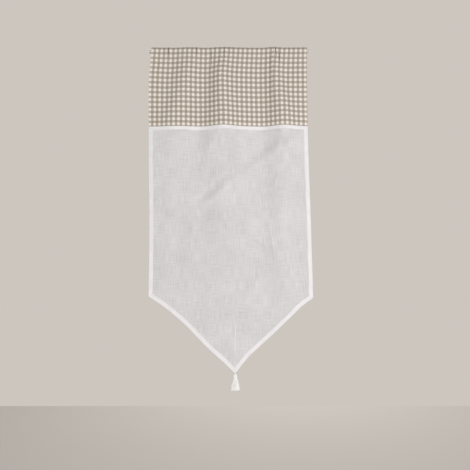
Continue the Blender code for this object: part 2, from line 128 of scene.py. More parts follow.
# Main folds: name, where each crest or trough runs at four levels, and how far forward it stands
# at six
FOLD_LEVELS_X = (0.0, 0.09, 0.288, 0.90)
FOLD_LEVELS_DEPTH = (0.0, 0.09, 0.288, 0.60, 0.90, 1.20)
FOLDS = (
    ("left_edge", 0, 0, 0, 0, 0.0030, 0.0110, -0.0050, -0.0030, 0.0000, 0.0),
    ("trough_1", -0.2130, -0.2205, -0.2570, -0.2535, 0.0000, 0.0010, 0.0030, 0.0030, 0.0010, 0.0),
    ("crest_1", -0.1436, -0.1583, -0.2059, -0.1949, 0.0050, 0.0160, 0.0140, 0.0100, 0.0040, 0.0),
    ("trough_2", -0.0888, -0.0906, -0.1107, -0.1070, 0.0000, 0.0000, 0.0030, 0.0020, 0.0000, 0.0),
    ("crest_2", -0.0119, -0.0284, -0.0174, -0.0119, 0.0080, 0.0270, 0.0350, 0.0250, 0.0070, 0.0),
    ("shoulder_2", 0.0320, 0.0310, 0.0503, 0.0576, 0.0030, 0.0100, 0.0110, 0.0080, 0.0030, 0.0),
    ("trough_3", 0.1199, 0.1199, 0.1180, 0.1199, 0.0000, 0.0000, 0.0010, 0.0000, 0.0000, 0.0),
    ("crest_3", 0.1600, 0.1680, 0.2004, 0.2040, 0.0080, 0.0200, 0.0340, 0.0240, 0.0070, 0.0),
    ("shoulder_3", 0.1990, 0.2110, 0.2516, 0.2553, 0.0020, 0.0070, 0.0190, 0.0130, 0.0040, 0.0),
    ("right_edge", 0, 0, 0, 0, 0.0030, 0.0090, 0.0100, 0.0070, 0.0020, 0.0),
)

# Creases: name, X and Z of the top and of the low end, half width, and how far the crease stands
# forward. Then its peak, the share of its length from the top at which it is highest: 0 keeps it
# up over the rod. Last its pull: how far the cloth beside it is drawn together, as a share.
CREASES = (
    ("pinch_1", -0.2227, 0.006, -0.2232, -0.036, 0.0015, -0.0016, 0.0, 0.36),
    ("pinch_1_left", -0.2264, 0.006, -0.2278, -0.056, 0.0020, 0.0046, 0.0, 0.0),
    ("pinch_1_right", -0.2190, 0.006, -0.2184, -0.052, 0.0020, 0.0048, 0.0, 0.0),
    ("pinch_2", -0.1195, 0.006, -0.1204, -0.034, 0.0016, -0.0014, 0.0, 0.32),
    ("pinch_2_left", -0.1232, 0.006, -0.1248, -0.044, 0.0020, 0.0036, 0.0, 0.0),
    ("pinch_2_right", -0.1158, 0.006, -0.1148, -0.054, 0.0021, 0.0042, 0.0, 0.0),
    ("pinch_3", -0.0899, 0.006, -0.0905, -0.022, 0.0014, -0.0008, 0.0, 0.20),
    ("pinch_3_right", -0.0868, 0.006, -0.0866, -0.032, 0.0019, 0.0028, 0.0, 0.0),
    ("pinch_4", -0.0668, 0.000, -0.0655, -0.084, 0.0019, -0.0018, 0.2, 0.28),
    ("pinch_4_left", -0.0708, 0.002, -0.0702, -0.072, 0.0021, 0.0022, 0.2, 0.0),
    ("pinch_4_right", -0.0626, 0.002, -0.0608, -0.090, 0.0023, 0.0036, 0.2, 0.0),
    ("pinch_5", -0.0540, 0.006, -0.0536, -0.024, 0.0014, -0.0010, 0.0, 0.15),
    ("pinch_5_right", -0.0509, 0.006, -0.0503, -0.032, 0.0019, 0.0024, 0.0, 0.0),
    ("pinch_6", -0.0190, 0.006, -0.0205, -0.074, 0.0018, -0.0014, 0.0, 0.26),
    ("pinch_6_right", -0.0151, 0.006, -0.0160, -0.094, 0.0023, 0.0038, 0.0, 0.0),
    ("pinch_7", 0.0082, 0.006, 0.0080, -0.024, 0.0014, -0.0010, 0.0, 0.15),
    ("pinch_7_right", 0.0114, 0.006, 0.0116, -0.032, 0.0019, 0.0022, 0.0, 0.0),
    ("pinch_8", 0.0395, 0.006, 0.0402, -0.026, 0.0014, -0.0010, 0.0, 0.12),
    ("pinch_8_left", 0.0363, 0.006, 0.0366, -0.034, 0.0020, 0.0020, 0.0, 0.0),
    ("soft_1", 0.1041, -0.006, 0.1062, -0.100, 0.0040, -0.0016, 0.3, 0.0),
    ("flank_3", 0.1465, 0.002, 0.1500, -0.240, 0.0058, -0.0040, 0.25, 0.28),
    ("flank_3_crest", 0.1588, 0.004, 0.1618, -0.230, 0.0044, 0.0042, 0.15, 0.0),
    ("pleat_left", 0.1622, 0.006, 0.1598, -0.046, 0.0023, 0.0046, 0.0, 0.0),
    ("pleat_dent", 0.1688, 0.006, 0.1730, -0.046, 0.0014, -0.0036, 0.0, 0.60),
    ("pleat_crest", 0.1752, 0.006, 0.1756, -0.074, 0.0026, 0.0040, 0.0, 0.0),
    ("pleat_streak", 0.1796, 0.006, 0.1794, -0.050, 0.0013, 0.0018, 0.0, 0.0),
    ("pleat_crease", 0.1834, 0.000, 0.1836, -0.080, 0.0015, -0.0036, 0.3, 0.18),
    ("pleat_side", 0.1878, 0.006, 0.1884, -0.072, 0.0025, 0.0036, 0.0, 0.0),
    ("pinch_9", 0.2230, 0.006, 0.2236, -0.026, 0.0014, -0.0010, 0.0, 0.14),
    ("pinch_9_left", 0.2198, 0.006, 0.2198, -0.032, 0.0019, 0.0020, 0.0, 0.0),
    ("pinch_10", 0.2560, 0.006, 0.2566, -0.022, 0.0014, -0.0008, 0.0, 0.10),
    ("pinch_10_left", 0.2530, 0.006, 0.2530, -0.028, 0.0019, 0.0016, 0.0, 0.0),
    ("left_dent", -0.2590, -0.026, -0.2594, -0.066, 0.0020, -0.0014, 0.5, 0.0),
    ("pressed_line", 0.0212, -0.940, 0.0198, -1.200, 0.0012, 0.0008, 0.5, 0.0),
    ("band_left", -0.0540, -0.256, -0.1440, -0.680, 0.0240, 0.0070, 0.2, 0.0),
    ("band_left_dip", -0.1140, -0.256, -0.2000, -0.680, 0.0240, -0.0058, 0.2, 0.0),
    ("band_left_low", -0.1260, -0.470, -0.1500, -0.980, 0.0230, 0.0072, 0.3, 0.0),
    ("band_left_low_dip", -0.1780, -0.470, -0.2020, -0.980, 0.0230, -0.0062, 0.3, 0.0),
    ("drag_upper", 0.2560, -0.296, 0.0100, -0.496, 0.0270, 0.0060, 0.5, 0.0),
    ("drag_upper_dip", 0.2100, -0.292, -0.0360, -0.492, 0.0270, -0.0046, 0.5, 0.0),
    ("drag_lower", 0.1180, -0.385, -0.1540, -0.626, 0.0220, 0.0052, 0.6, 0.0),
    ("drag_lower_dip", 0.0780, -0.380, -0.1960, -0.622, 0.0220, -0.0042, 0.6, 0.0),
    ("line_right", 0.1000, -0.468, 0.1520, -0.660, 0.0048, 0.0030, 0.5, 0.0),
    ("line_right_low", 0.1390, -0.610, 0.1700, -0.780, 0.0048, 0.0030, 0.55, 0.0),
    ("line_branch", 0.0400, -0.655, 0.1640, -0.765, 0.0085, 0.0032, 0.6, 0.0),
    ("line_short", 0.1880, -0.430, 0.1480, -0.530, 0.0070, 0.0018, 0.5, 0.0),
    ("wave_left", -0.2660, -0.400, -0.2060, -0.700, 0.0120, 0.0022, 0.5, 0.0),
    ("wave_right", 0.2560, -0.360, 0.2680, -0.860, 0.0120, 0.0014, 0.4, 0.0),
    ("low_drag_1", -0.0330, -0.835, -0.1090, -0.925, 0.0070, 0.0017, 0.5, 0.0),
    ("low_drag_2", -0.0570, -0.835, -0.1330, -0.925, 0.0060, 0.0014, 0.5, 0.0),
    ("low_drag_3", -0.0830, -0.840, -0.1520, -0.915, 0.0060, 0.0012, 0.5, 0.0),
)
PULL_REACH = 0.0090
REST_ON_ROD = -0.0009

# Slight unevenness: height of each wave, waves a metre across and down, and its start
COTTON_RIPPLES = (
    (0.00040, 9.5, 2.6, 0.10),
    (0.00028, -15.0, 6.4, 0.37),
    (0.00016, 27.0, 11.0, 0.62),
    (0.00010, -41.0, 17.0, 0.21),
)
SHEER_RIPPLES = (
    (0.00050, 5.2, 0.8, 0.30),
    (0.00028, -9.0, 2.3, 0.72),
    (0.00014, 17.0, 4.1, 0.11),
)
SEAM_PUCKER_HEIGHT = 0.00022
SEAM_PUCKER_LENGTH = 0.0135
SEAM_PUCKER_REACH = 0.0150
PUCKER_SWAY = 0.8
PUCKER_SWAYS = 5.3
RIPPLE_SLANT = 0.31
RIPPLE_BEAT = 0.7

# Lower outline of the sheer panel: share of the width from the left, and cloth length down to it
LEFT_SLANT = (
    (0.000, 0.907),
    (0.070, 0.933),
    (0.190, 0.991),
    (0.370, 1.100),
    (0.527, 1.190),
)
RIGHT_SLANT = (
    (0.527, 1.190),
    (0.600, 1.133),
    (0.700, 1.075),
    (0.860, 0.986),
    (0.940, 0.938),
    (1.000, 0.911),
)


# Hanging shape

def monotone_curve(knots, values, at):
    """Smooth curve through the knots that makes no crest or trough between them."""
    knots = np.asarray(knots, dtype=float)
    values = np.asarray(values, dtype=float)
    at = np.clip(at, knots[0], knots[-1])
    steps = np.diff(knots)
    rises = np.diff(values) / steps
    slopes = np.zeros_like(values)
    same_way = rises[:-1] * rises[1:] > 0
    before = rises[:-1][same_way]
    after = rises[1:][same_way]
    slopes[1:-1][same_way] = 2 * before * after / (before + after)
    slopes[0] = rises[0]
    slopes[-1] = rises[-1]
    cell = np.clip(np.searchsorted(knots, at, side="right") - 1, 0, len(steps) - 1)
    t = (at - knots[cell]) / steps[cell]
    start = values[cell] + t * t * (3 - 2 * t) * (values[cell + 1] - values[cell])
    bend = slopes[cell] * (1 - t) ** 2 * t - slopes[cell + 1] * t * t * (1 - t)
    return start + bend * steps[cell]


def crosswise_curve(down):
    """Shares of the width along the cloth, with the place across and the depth of each."""
    drops, left_edge, right_edge = np.array(EDGES).T
    left = float(monotone_curve(drops, left_edge, down))
    right = float(monotone_curve(drops, right_edge, down))
    levels = len(FOLD_LEVELS_X)
    inner = [float(monotone_curve(FOLD_LEVELS_X, row[1:1 + levels], down)) for row in FOLDS[1:-1]]
    depths = [float(monotone_curve(FOLD_LEVELS_DEPTH, row[1 + levels:], down)) for row in FOLDS]
    across = np.linspace(left, right, CURVE_SAMPLES)
    depth = monotone_curve([left, *inner, right], depths, across)
    lengths = np.hypot(np.diff(across), np.diff(depth))
    share = np.concatenate(([0.0], np.cumsum(lengths)))
    return share / share[-1], across, depth


def hang_cloth():
    """Lattices of the front face's X, depth and Z, by share across and by length down."""
    shares = np.linspace(0.0, 1.0, LATTICE_ACROSS)
    drops = np.linspace(0.0, CLOTH_END, LATTICE_DOWN)
    across = np.zeros((LATTICE_DOWN, LATTICE_ACROSS))
    depth = np.zeros_like(across)
    height = np.zeros_like(across)
    for i, down in enumerate(drops):
        share, x, d = crosswise_curve(down)
        across[i] = np.interp(shares, share, x)
        depth[i] = np.interp(shares, share, d)
    step = drops[1] - drops[0]
    fall = np.sqrt(step ** 2 - np.diff(depth, axis=0) ** 2 - np.diff(across, axis=0) ** 2)
    height[1:] = -np.cumsum(fall, axis=0)
    return across, depth, height


LATTICE = hang_cloth()


def read_lattice(table, across, down):
    column_at = np.clip(across / FLAT_WIDTH, 0.0, 1.0) * (LATTICE_ACROSS - 1)
    row_at = np.clip(down / CLOTH_END, 0.0, 1.0) * (LATTICE_DOWN - 1)
    i = np.minimum(row_at.astype(int), LATTICE_DOWN - 2)
    j = np.minimum(column_at.astype(int), LATTICE_ACROSS - 2)
    s = column_at - j
    t = row_at - i
    upper = table[i, j] * (1 - s) + table[i, j + 1] * s
    lower = table[i + 1, j] * (1 - s) + table[i + 1, j + 1] * s
    return upper * (1 - t) + lower * t


def ease(t):
    t = np.clip(t, 0.0, 1.0)
    return t * t * (3 - 2 * t)


def ease_from(t, start, length):
    return float(ease((t - start) / length))


def crease_shape(x, z):
    """How far the creases stand forward at a hung place, and how far they draw it sideways."""
    forward = np.zeros_like(x)
    sideways = np.zeros_like(x)
    for name, x_top, z_top, x_low, z_low, half_width, height, peak, pull in CREASES:
        along = (z_top - z) / (z_top - z_low)
        beside = x - (x_top + (x_low - x_top) * along)
        growing = ease(along / peak) if peak > 0 else np.ones_like(along)
        strength = np.minimum(growing, ease((1 - along) / (1 - peak)))
        forward += height * strength * np.exp(-(beside / half_width) ** 2)
        if pull > 0:
            sideways -= pull * strength * beside * np.exp(-(beside / PULL_REACH) ** 2)
    return forward, sideways


def ripple_depth(ripples, across, down):
    total = np.zeros_like(across)
    for height, waves_across, waves_down, start in ripples:
        phase = waves_across * across + waves_down * down + start
        beat = RIPPLE_SLANT * waves_down * across + RIPPLE_BEAT * phase
        total += height * np.sin(TURN * phase) * np.cos(TURN * beat)
    return total


def seam_pucker(across, down):
    """Short waves beside the sewn join."""
    nearness = np.exp(-((down - JOIN_LINE) / SEAM_PUCKER_REACH) ** 2)
    phase = across / SEAM_PUCKER_LENGTH + PUCKER_SWAY * np.sin(TURN * across * PUCKER_SWAYS)
    return SEAM_PUCKER_HEIGHT * nearness * np.sin(TURN * phase)


def front_points(across, down):
    """Places on the cloth's front face, in an array whose last axis is X, Y and Z."""
    across = np.asarray(across, dtype=float)
    down = np.asarray(down, dtype=float)
    x, depth, z = (read_lattice(table, across, down) for table in LATTICE)
    share_of_cotton = ease((JOIN_LINE + COTTON_FADE / 2 - down) / COTTON_FADE)
    forward, sideways = crease_shape(x, z)
    depth = depth + forward + seam_pucker(across, down)
    depth = depth + share_of_cotton * ripple_depth(COTTON_RIPPLES, across, down)
    depth = depth + (1 - share_of_cotton) * ripple_depth(SHEER_RIPPLES, across, down)
    depth = np.where(z > -2 * ROD_RADIUS, np.maximum(depth, REST_ON_ROD), depth)
    return np.stack((x + sideways, FRONT_Y - depth, z), axis=-1)


def outline_down(across):
    """Length down to the lower outline."""
    share = np.asarray(across, dtype=float) / FLAT_WIDTH
    left = monotone_curve(*np.array(LEFT_SLANT).T, share)
    right = monotone_curve(*np.array(RIGHT_SLANT).T, share)
    return np.where(share <= TIP_SHARE, left, right)


def tip_slopes():
    """How steeply the outline falls just left and just right of the tip."""
    beside = np.array((TIP_ACROSS - TAPE_WIDTH, TIP_ACROSS, TIP_ACROSS + TAPE_WIDTH))
    return np.diff(outline_down(beside)) / TAPE_WIDTH


def border_down(across):
    """Length down to the inner edge of the tape along the slants, mitred above the tip."""
    across = np.asarray(across, dtype=float)
    left = across <= TIP_ACROSS
    low = np.maximum(across - TAPE_WIDTH / 2, np.where(left, 0.0, TIP_ACROSS))
    high = np.minimum(across + TAPE_WIDTH / 2, np.where(left, TIP_ACROSS, FLAT_WIDTH))
    slope = (outline_down(high) - outline_down(low)) / (high - low)
    own_side = outline_down(across) - TAPE_WIDTH * np.hypot(1.0, slope)
    other = np.where(left, *tip_slopes()[::-1])
    run_on = outline_down(TIP_ACROSS) + other * (across - TIP_ACROSS)
    return np.minimum(own_side, run_on - TAPE_WIDTH * np.hypot(1.0, other))


def mitre_across():
    """Place across where the two slants' inner edges meet."""
    left, right = tip_slopes()
    return TIP_ACROSS + TAPE_WIDTH * (math.hypot(1, left) - math.hypot(1, right)) / (left - right)


# Meshes

def run_along(lines):
    """Length from the first point of a line to each point. The last axis is the place."""
    steps = np.linalg.norm(np.diff(lines, axis=-2), axis=-1)
    return np.concatenate((np.zeros((*steps.shape[:-1], 1)), np.cumsum(steps, axis=-1)), axis=-1)


def add_object(name, data):
    item = bpy.data.objects.new(name, data)
    bpy.context.scene.collection.objects.link(item)
    return item


def facing_out(points, quads, caps=()):
    """List of the faces, turned over if the closed mesh would be inside out."""
    a, b, c, d = (points[quads[:, i]] - points.mean(axis=0) for i in range(4))
    volume = np.einsum("ij,ij->i", a, np.cross(b, c)) + np.einsum("ij,ij->i", a, np.cross(c, d))
    turned = volume.sum() < 0
    return [face for group in (quads, *caps)
            for face in (group[:, ::-1] if turned else group).tolist()]


def make_mesh(name, points, faces, flat=None, sharp=40):
    """Mesh object. flat holds each point's flat lengths, for the materials."""
    mesh = bpy.data.meshes.new(name)
    mesh.from_pydata(points.tolist(), [], faces)
    if flat is not None:
        layer = mesh.attributes.new("flat", "FLOAT_VECTOR", "POINT")
        layer.data.foreach_set("vector", np.ascontiguousarray(flat, dtype=np.float32).ravel())
    mesh.shade_smooth()
    mesh.set_sharp_from_angle(angle=math.radians(sharp))
    return add_object(name, mesh)


def shell(name, front, back, flat):
    """Closed thin sheet between two equal grids of points. flat is the grid of flat lengths."""
    rows, columns = front.shape[:2]
    count = rows * columns
    index = np.arange(count).reshape(rows, columns)
    quads = np.stack((index[:-1, :-1], index[:-1, 1:], index[1:, 1:], index[1:, :-1]), axis=-1)
    quads = quads.reshape(-1, 4)
    rim = np.concatenate((index[0], index[1:, -1], index[-1, -2::-1], index[-2:0:-1, 0]))
    after = np.roll(rim, -1)
    sides = np.stack((after, rim, rim + count, after + count), axis=-1)
    faces = np.concatenate((quads, quads[:, ::-1] + count, sides))
    points = np.concatenate((front.reshape(-1, 3), back.reshape(-1, 3)))
    lengths = np.zeros((count, 3))
    lengths[:, :2] = flat.reshape(-1, 2)
    return make_mesh(name, points, facing_out(points, faces),
                     np.concatenate((lengths, lengths)))


def tubes(name, lines, radii, sides, reference):
    """Closed tubes along lines of points: arrays of (tubes, points, 3) and (tubes, points)."""
    count, length = lines.shape[:2]
    along = np.gradient(lines, axis=1)
    along /= np.linalg.norm(along, axis=-1, keepdims=True)
    first = np.cross(along, np.broadcast_to(np.asarray(reference, dtype=float), along.shape))
    first /= np.linalg.norm(first, axis=-1, keepdims=True)
    second = np.cross(along, first)
    angles = TURN * np.arange(sides) / sides
    ring = (np.cos(angles)[:, None] * first[:, :, None, :]
            + np.sin(angles)[:, None] * second[:, :, None, :])
    points = lines[:, :, None, :] + ring * radii[:, :, None, None]
    index = np.arange(count * length * sides).reshape(count, length, sides)
    after = np.roll(index, -1, axis=2)
    quads = np.stack((index[:, :-1], after[:, :-1], after[:, 1:], index[:, 1:]), axis=-1)
    quads = quads.reshape(-1, 4)
    flat = np.zeros((count, length, sides, 3))
    flat[..., 0] = np.arange(sides) / sides
    flat[..., 1] = run_along(lines)[:, :, None]
    flat[..., 2] = np.arange(count)[:, None, None]
    caps = [index[:, 0, ::-1], index[:, -1]]
    points = points.reshape(-1, 3)
    return make_mesh(name, points, facing_out(points, quads, caps), flat, 60)


def lathe(name, outline, sides, centre, axis, depth_ratio=1.0, ridges=0, ridge_height=0.0):
    """Closed turned shape. outline rows are (place along the axis, radius), from 0 to 0 radius."""
    places, radii = np.array(outline, dtype=float).T
    angles = TURN * np.arange(sides) / sides
    swell = 1 + np.cos(ridges * angles) * ridge_height if ridges else np.ones(sides)
    ways = np.eye(3)
    along = ways["XYZ".index(axis)]
    first, second = np.delete(ways, "XYZ".index(axis), axis=0)
    circle = (np.cos(angles)[:, None] * first
              + np.sin(angles)[:, None] * second * depth_ratio) * swell[:, None]
    rings = (np.array(centre) + places[:, None, None] * along
             + radii[:, None, None] * circle[None])
    points = rings[1:-1].reshape(-1, 3)
    count = len(points)
    points = np.concatenate((points, rings[0, :1], rings[-1, :1]))
    index = np.arange(count).reshape(-1, sides)
    after = np.roll(index, -1, axis=1)
    quads = np.stack((index[:-1], after[:-1], after[1:], index[1:]), axis=-1).reshape(-1, 4)
    ends = np.full((2, sides), ((count,), (count + 1,)))
    low_fan = np.stack((ends[0], after[0], index[0]), axis=-1)
    high_fan = np.stack((ends[1], index[-1], after[-1]), axis=-1)
    faces = [*quads.tolist(), *low_fan.tolist(), *high_fan.tolist()]
    item = make_mesh(name, points, faces)
    make_outward(item)
    return item


def make_outward(item):
    bm = bmesh.new()
    bm.from_mesh(item.data)
    bmesh.ops.recalc_face_normals(bm, faces=bm.faces[:])
    bm.to_mesh(item.data)
    bm.free()


def join_meshes(name, items):
    """One object from several."""
    with bpy.context.temp_override(active_object=items[0], selected_editable_objects=items):
        bpy.ops.object.join()
    items[0].name = name
    items[0].data.name = name
    return items[0]


# Sewing

STITCH_LENGTH = 0.0026
STITCH_GAP = 0.0008
STITCH_RADIUS = 0.00022
STITCH_SHARES = (0.0, 0.25, 0.75, 1.0)
STITCH_HEIGHTS = (-0.00010, 0.00008, 0.00008, -0.00010)
STITCH_WIDTHS = (0.6, 1.0, 1.0, 0.6)
STITCH_SIDES = 4
STITCH_REFERENCE = (0, 1, 0.02)


def stitch_lines(path, outward):
    """Short raised lines of thread along a path of points."""
    runs = run_along(path)
    pitch = STITCH_LENGTH + STITCH_GAP
    starts = np.arange(STITCH_GAP, runs[-1] - STITCH_LENGTH, pitch)
    shares = np.array(STITCH_SHARES) * STITCH_LENGTH
    at = starts[:, None] + shares[None]
    lines = np.stack([np.interp(at, runs, path[:, k]) for k in range(3)], axis=-1)
    return lines + np.array(STITCH_HEIGHTS)[None, :, None] * outward


def sew(name, paths):
    """One piece with the stitches of all the paths, which are (points, outward) pairs."""
    lines = np.concatenate([stitch_lines(np.asarray(path), outward) for path, outward in paths])
    radii = np.broadcast_to(np.array(STITCH_WIDTHS) * STITCH_RADIUS, lines.shape[:2])
    return tubes(name, lines, radii, STITCH_SIDES, STITCH_REFERENCE)


# Cloth pieces

FORWARD = np.array((0.0, -1.0, 0.0))
BACKWARD = -FORWARD


def hem_share(across):
    """1 on the turned-in side hems of the heading, 0 between them."""
    from_side = np.minimum(across, FLAT_WIDTH - across)
    return ease((GINGHAM_HEM_WIDTH + HEM_STEP / 2 - from_side) / HEM_STEP)


def gingham_columns():
    """Places across the heading, closer together where its creases are."""
    fine = np.linspace(0.0, FLAT_WIDTH, FINE_STEPS * GINGHAM_CELLS_ACROSS + 1)
    closeness = np.ones_like(fine)
    hung = front_points(fine, np.full_like(fine, POCKET_DROP))[:, 0]
    for crease in CREASES:
        x_top, z_top = crease[1:3]
        if z_top > -JOIN_LINE:
            at = np.interp(x_top, hung, fine)
            closeness += CREASE_CLOSENESS * np.exp(-((fine - at) / CREASE_REACH) ** 2)
    total = np.concatenate(([0.0], np.cumsum(np.minimum(closeness, 1 + CREASE_CLOSENESS)[1:])))
    return np.interp(np.linspace(0.0, total[-1], GINGHAM_CELLS_ACROSS + 1), total, fine)


def pocket_depth(thickness):
    """How far the pocket's back face is behind the front face at the pocket's seam."""
    return thickness + POCKET_GAP + np.maximum(thickness, GINGHAM_THICKNESS + GINGHAM_HEM_EXTRA)


def gingham_grid():
    """Outer face, inner face and flat lengths of the heading, from the join up, over and down."""
    across = gingham_columns()
    thickness = GINGHAM_THICKNESS + GINGHAM_HEM_EXTRA * hem_share(across)
    drops = np.linspace(JOIN_LINE - LAYER_GAP, 0.0, GINGHAM_ROWS + 1)
    s, v = np.meshgrid(across, drops)
    outer = [front_points(s, v)]
    inner = [outer[0] + thickness[None, :, None] * BACKWARD]
    lengths = [v]
    front = outer[0][-1]
    roll_radius = POCKET_RADIUS + POCKET_HALF_THICKNESS
    bulge = -ROD_STANDOFF - front[:, 1] - roll_radius
    quarter = TURN / 4 * roll_radius
    roll_height = roll_radius + ROLL_LIFT + ROLL_RISE * bulge
    for i in range(1, ROLL_STEPS + 1):
        angle = math.pi * i / ROLL_STEPS
        radius = roll_radius + bulge * math.cos(angle / 2) ** 2
        outward = np.array((0.0, -math.cos(angle), math.sin(angle)))
        ring = np.stack((front[:, 0], -ROD_STANDOFF - radius * math.cos(angle),
                         roll_height * math.sin(angle)), axis=-1)
        outer.append(ring[None])
        inner.append((ring - outward * thickness[:, None])[None])
        lengths.append(np.full((1, len(across)), -2 * quarter * i / ROLL_STEPS))
    at_rod = roll_radius - ROD_STANDOFF - front[:, 1]
    at_seam = pocket_depth(thickness)
    for i in range(1, POCKET_ROWS + 1):
        t = i / POCKET_ROWS
        here = front_points(across, np.full_like(across, POCKET_DROP * t))
        behind = at_rod + (at_seam - at_rod) * ease_from(t, *POCKET_EASE)
        point = here + behind[:, None] * BACKWARD
        turned = GINGHAM_HEM_EXTRA * ease_from(t, *HEM_TURN)
        layer = np.maximum(thickness, GINGHAM_THICKNESS + turned)
        outer.append(point[None])
        inner.append((point + layer[:, None] * FORWARD)[None])
        lengths.append(np.full((1, len(across)), -2 * quarter - POCKET_DROP * t))
    down = np.concatenate(lengths)
    flat = np.stack((np.broadcast_to(across, down.shape), down), axis=-1)
    return np.concatenate(outer), np.concatenate(inner), flat


def sheer_columns():
    """Places across the sheer panel, closer together at the pressed line above its tip."""
    fine = np.linspace(0.0, FLAT_WIDTH, FINE_STEPS * SHEER_CELLS_ACROSS + 1)
    closeness = 1 + PRESSED_CLOSENESS * np.exp(-((fine - TIP_ACROSS) / PRESSED_REACH) ** 2)
    total = np.concatenate(([0.0], np.cumsum(closeness[1:])))
    tip_total = float(np.interp(TIP_ACROSS, fine, total))
    tip_cell = round(tip_total / total[-1] * SHEER_CELLS_ACROSS)
    evenly = np.interp(np.arange(SHEER_CELLS_ACROSS + 1), (0, tip_cell, SHEER_CELLS_ACROSS),
                       (0.0, tip_total, total[-1]))
    return np.interp(evenly, total, fine)


def sheer_grid():
    """Front face, back face and flat lengths of the sheer panel, from the outline up."""
    across = sheer_columns()
    top = JOIN_LINE - SHEER_TURN_UP
    lowest = outline_down(across)
    share = np.linspace(1.0, 0.0, SHEER_ROWS + 1) ** SHEER_ROW_POWER
    v = top + (lowest[None, :] - top) * share[:, None]
    s = np.broadcast_to(across, v.shape)
    front = front_points(s, v)
    tucked = (GINGHAM_THICKNESS + LAYER_GAP) * ease((JOIN_LINE + TUCK_REACH - v) / TUCK_REACH)
    front = front + tucked[..., None] * BACKWARD
    back = front + SHEER_THICKNESS * BACKWARD
    return front, back, np.stack((s, v), axis=-1)


TAPE_SHARES = (0.0, 0.02, 0.08, 0.25, 0.5, 0.75, 0.92, 0.98, 1.0)
TAPE_CROWN = (0.35, 0.75, 1.0, 1.0, 1.0, 1.0, 1.0, 0.75, 0.35)
BINDING_SHARES = (1.0, 0.98, 0.92, 0.75, 0.5, 0.25, 0.06, 0.0)
BINDING_CROWN = (0.4, 0.8, 1.0, 1.0, 1.0, 1.0, 1.0, 0.85)
BACK_LAYER = 0.0005
BINDING_WIDTH = 2 * TAPE_WIDTH + 0.001
FOLD_REACH = 0.0003
STITCH_INSET = 0.11
EDGE_SHARE = 0.1
FOLD_LIFT = 0.00005
FOLD_FORWARD = 0.0002
JOIN_POINTS = 300
SIDE_POINTS = 240
SLANT_POINTS = 200


def tape_places(outer, inner, share):
    """Flat places at a share of the way from a tape's outer line to its inner line."""
    return outer + (inner - outer) * share


def behind_cloth(down):
    """How far behind the front face the back of the cloth is."""
    return np.where(down < JOIN_LINE, GINGHAM_THICKNESS + LAYER_GAP, 0.0) + SHEER_THICKNESS


def sew_tape(name, outer, inner, shares, depth):
    """Rows of stitches along a tape, on its front and as far behind it as the depth."""
    paths = []
    for share in shares:
        line = tape_places(outer, inner, share)
        points = front_points(line[:, 0], line[:, 1])
        paths.append((points + (TAPE_LIFT + TAPE_THICKNESS) * FORWARD, FORWARD))
        paths.append((points + depth * BACKWARD, BACKWARD))
    return sew(name.replace("tape", "stitches"), paths)


def flat_tape(name, outer, inner):
    """Tape that lies on the front, between two lines of flat places, with its two seams."""
    places = np.stack([tape_places(outer, inner, share) for share in TAPE_SHARES], axis=1)
    surface = front_points(places[..., 0], places[..., 1])
    crown = np.array(TAPE_CROWN)[None, :, None] * TAPE_THICKNESS
    back = surface + TAPE_LIFT * FORWARD
    front = back + crown * FORWARD
    flat = np.zeros((*places.shape[:2], 2))
    flat[..., 0] = np.array(TAPE_SHARES)[None, :] * TAPE_WIDTH
    flat[..., 1] = run_along(outer)[:, None]
    depth = behind_cloth(np.array([0.0]))[0]
    stitches = sew_tape(name, outer, inner, (STITCH_INSET, 1 - STITCH_INSET), depth)
    return shell(name, front, back, flat), stitches, (FLAT_WIDTH, JOIN_TAPE_BOTTOM - JOIN_TAPE_TOP)


def binding(name, outer, inner):
    """Tape folded over an edge of the sheer, which is the outer line, with its seam."""
    places = np.stack([tape_places(outer, inner, share) for share in BINDING_SHARES], axis=1)
    surface = front_points(places[..., 0], places[..., 1])
    crown = np.array(BINDING_CROWN)[None, :, None]
    inward = tape_places(outer, inner, EDGE_SHARE)
    edge = front_points(outer[:, 0], outer[:, 1])
    out = edge - front_points(inward[:, 0], inward[:, 1])
    out /= np.linalg.norm(out, axis=1, keepdims=True)
    front_inside = surface + TAPE_LIFT * FORWARD
    front_outside = front_inside + crown * TAPE_THICKNESS * FORWARD
    back_inside = surface[:, ::-1] + (SHEER_THICKNESS + TAPE_LIFT) * BACKWARD
    back_outside = back_inside + crown[:, ::-1] * BACK_LAYER * BACKWARD
    middle = edge + SHEER_THICKNESS / 2 * BACKWARD
    fold_inside = (middle + out * FOLD_LIFT)[:, None]
    fold_outside = (middle + out * FOLD_REACH + FOLD_FORWARD * FORWARD)[:, None]
    outside = np.concatenate((front_outside, fold_outside, back_outside), axis=1)
    inside = np.concatenate((front_inside, fold_inside, back_inside), axis=1)
    across = np.array(BINDING_SHARES)
    across = np.concatenate((-across, [0.0], across[::-1])) * TAPE_WIDTH
    flat = np.zeros((*outside.shape[:2], 2))
    flat[..., 0] = across[None]
    flat[..., 1] = run_along(outer)[:, None]
    depth = SHEER_THICKNESS + TAPE_LIFT + BACK_LAYER
    stitches = sew_tape(name, outer, inner, (1 - STITCH_INSET,), depth)
    size = (BINDING_WIDTH, float(run_along(outer)[-1]))
    return shell(name, outside, inside, flat), stitches, size


def line_between(start, end, count):
    return np.stack([np.linspace(a, b, count) for a, b in zip(start, end)], axis=-1)


def join_tape():
    outer = line_between((MITRE_GAP, JOIN_TAPE_TOP), (FLAT_WIDTH - MITRE_GAP, JOIN_TAPE_TOP),
                         JOIN_POINTS)
    inner = line_between((TAPE_WIDTH, JOIN_TAPE_BOTTOM),
                         (FLAT_WIDTH - TAPE_WIDTH, JOIN_TAPE_BOTTOM), JOIN_POINTS)
    return flat_tape("tape_over_join", outer, inner)


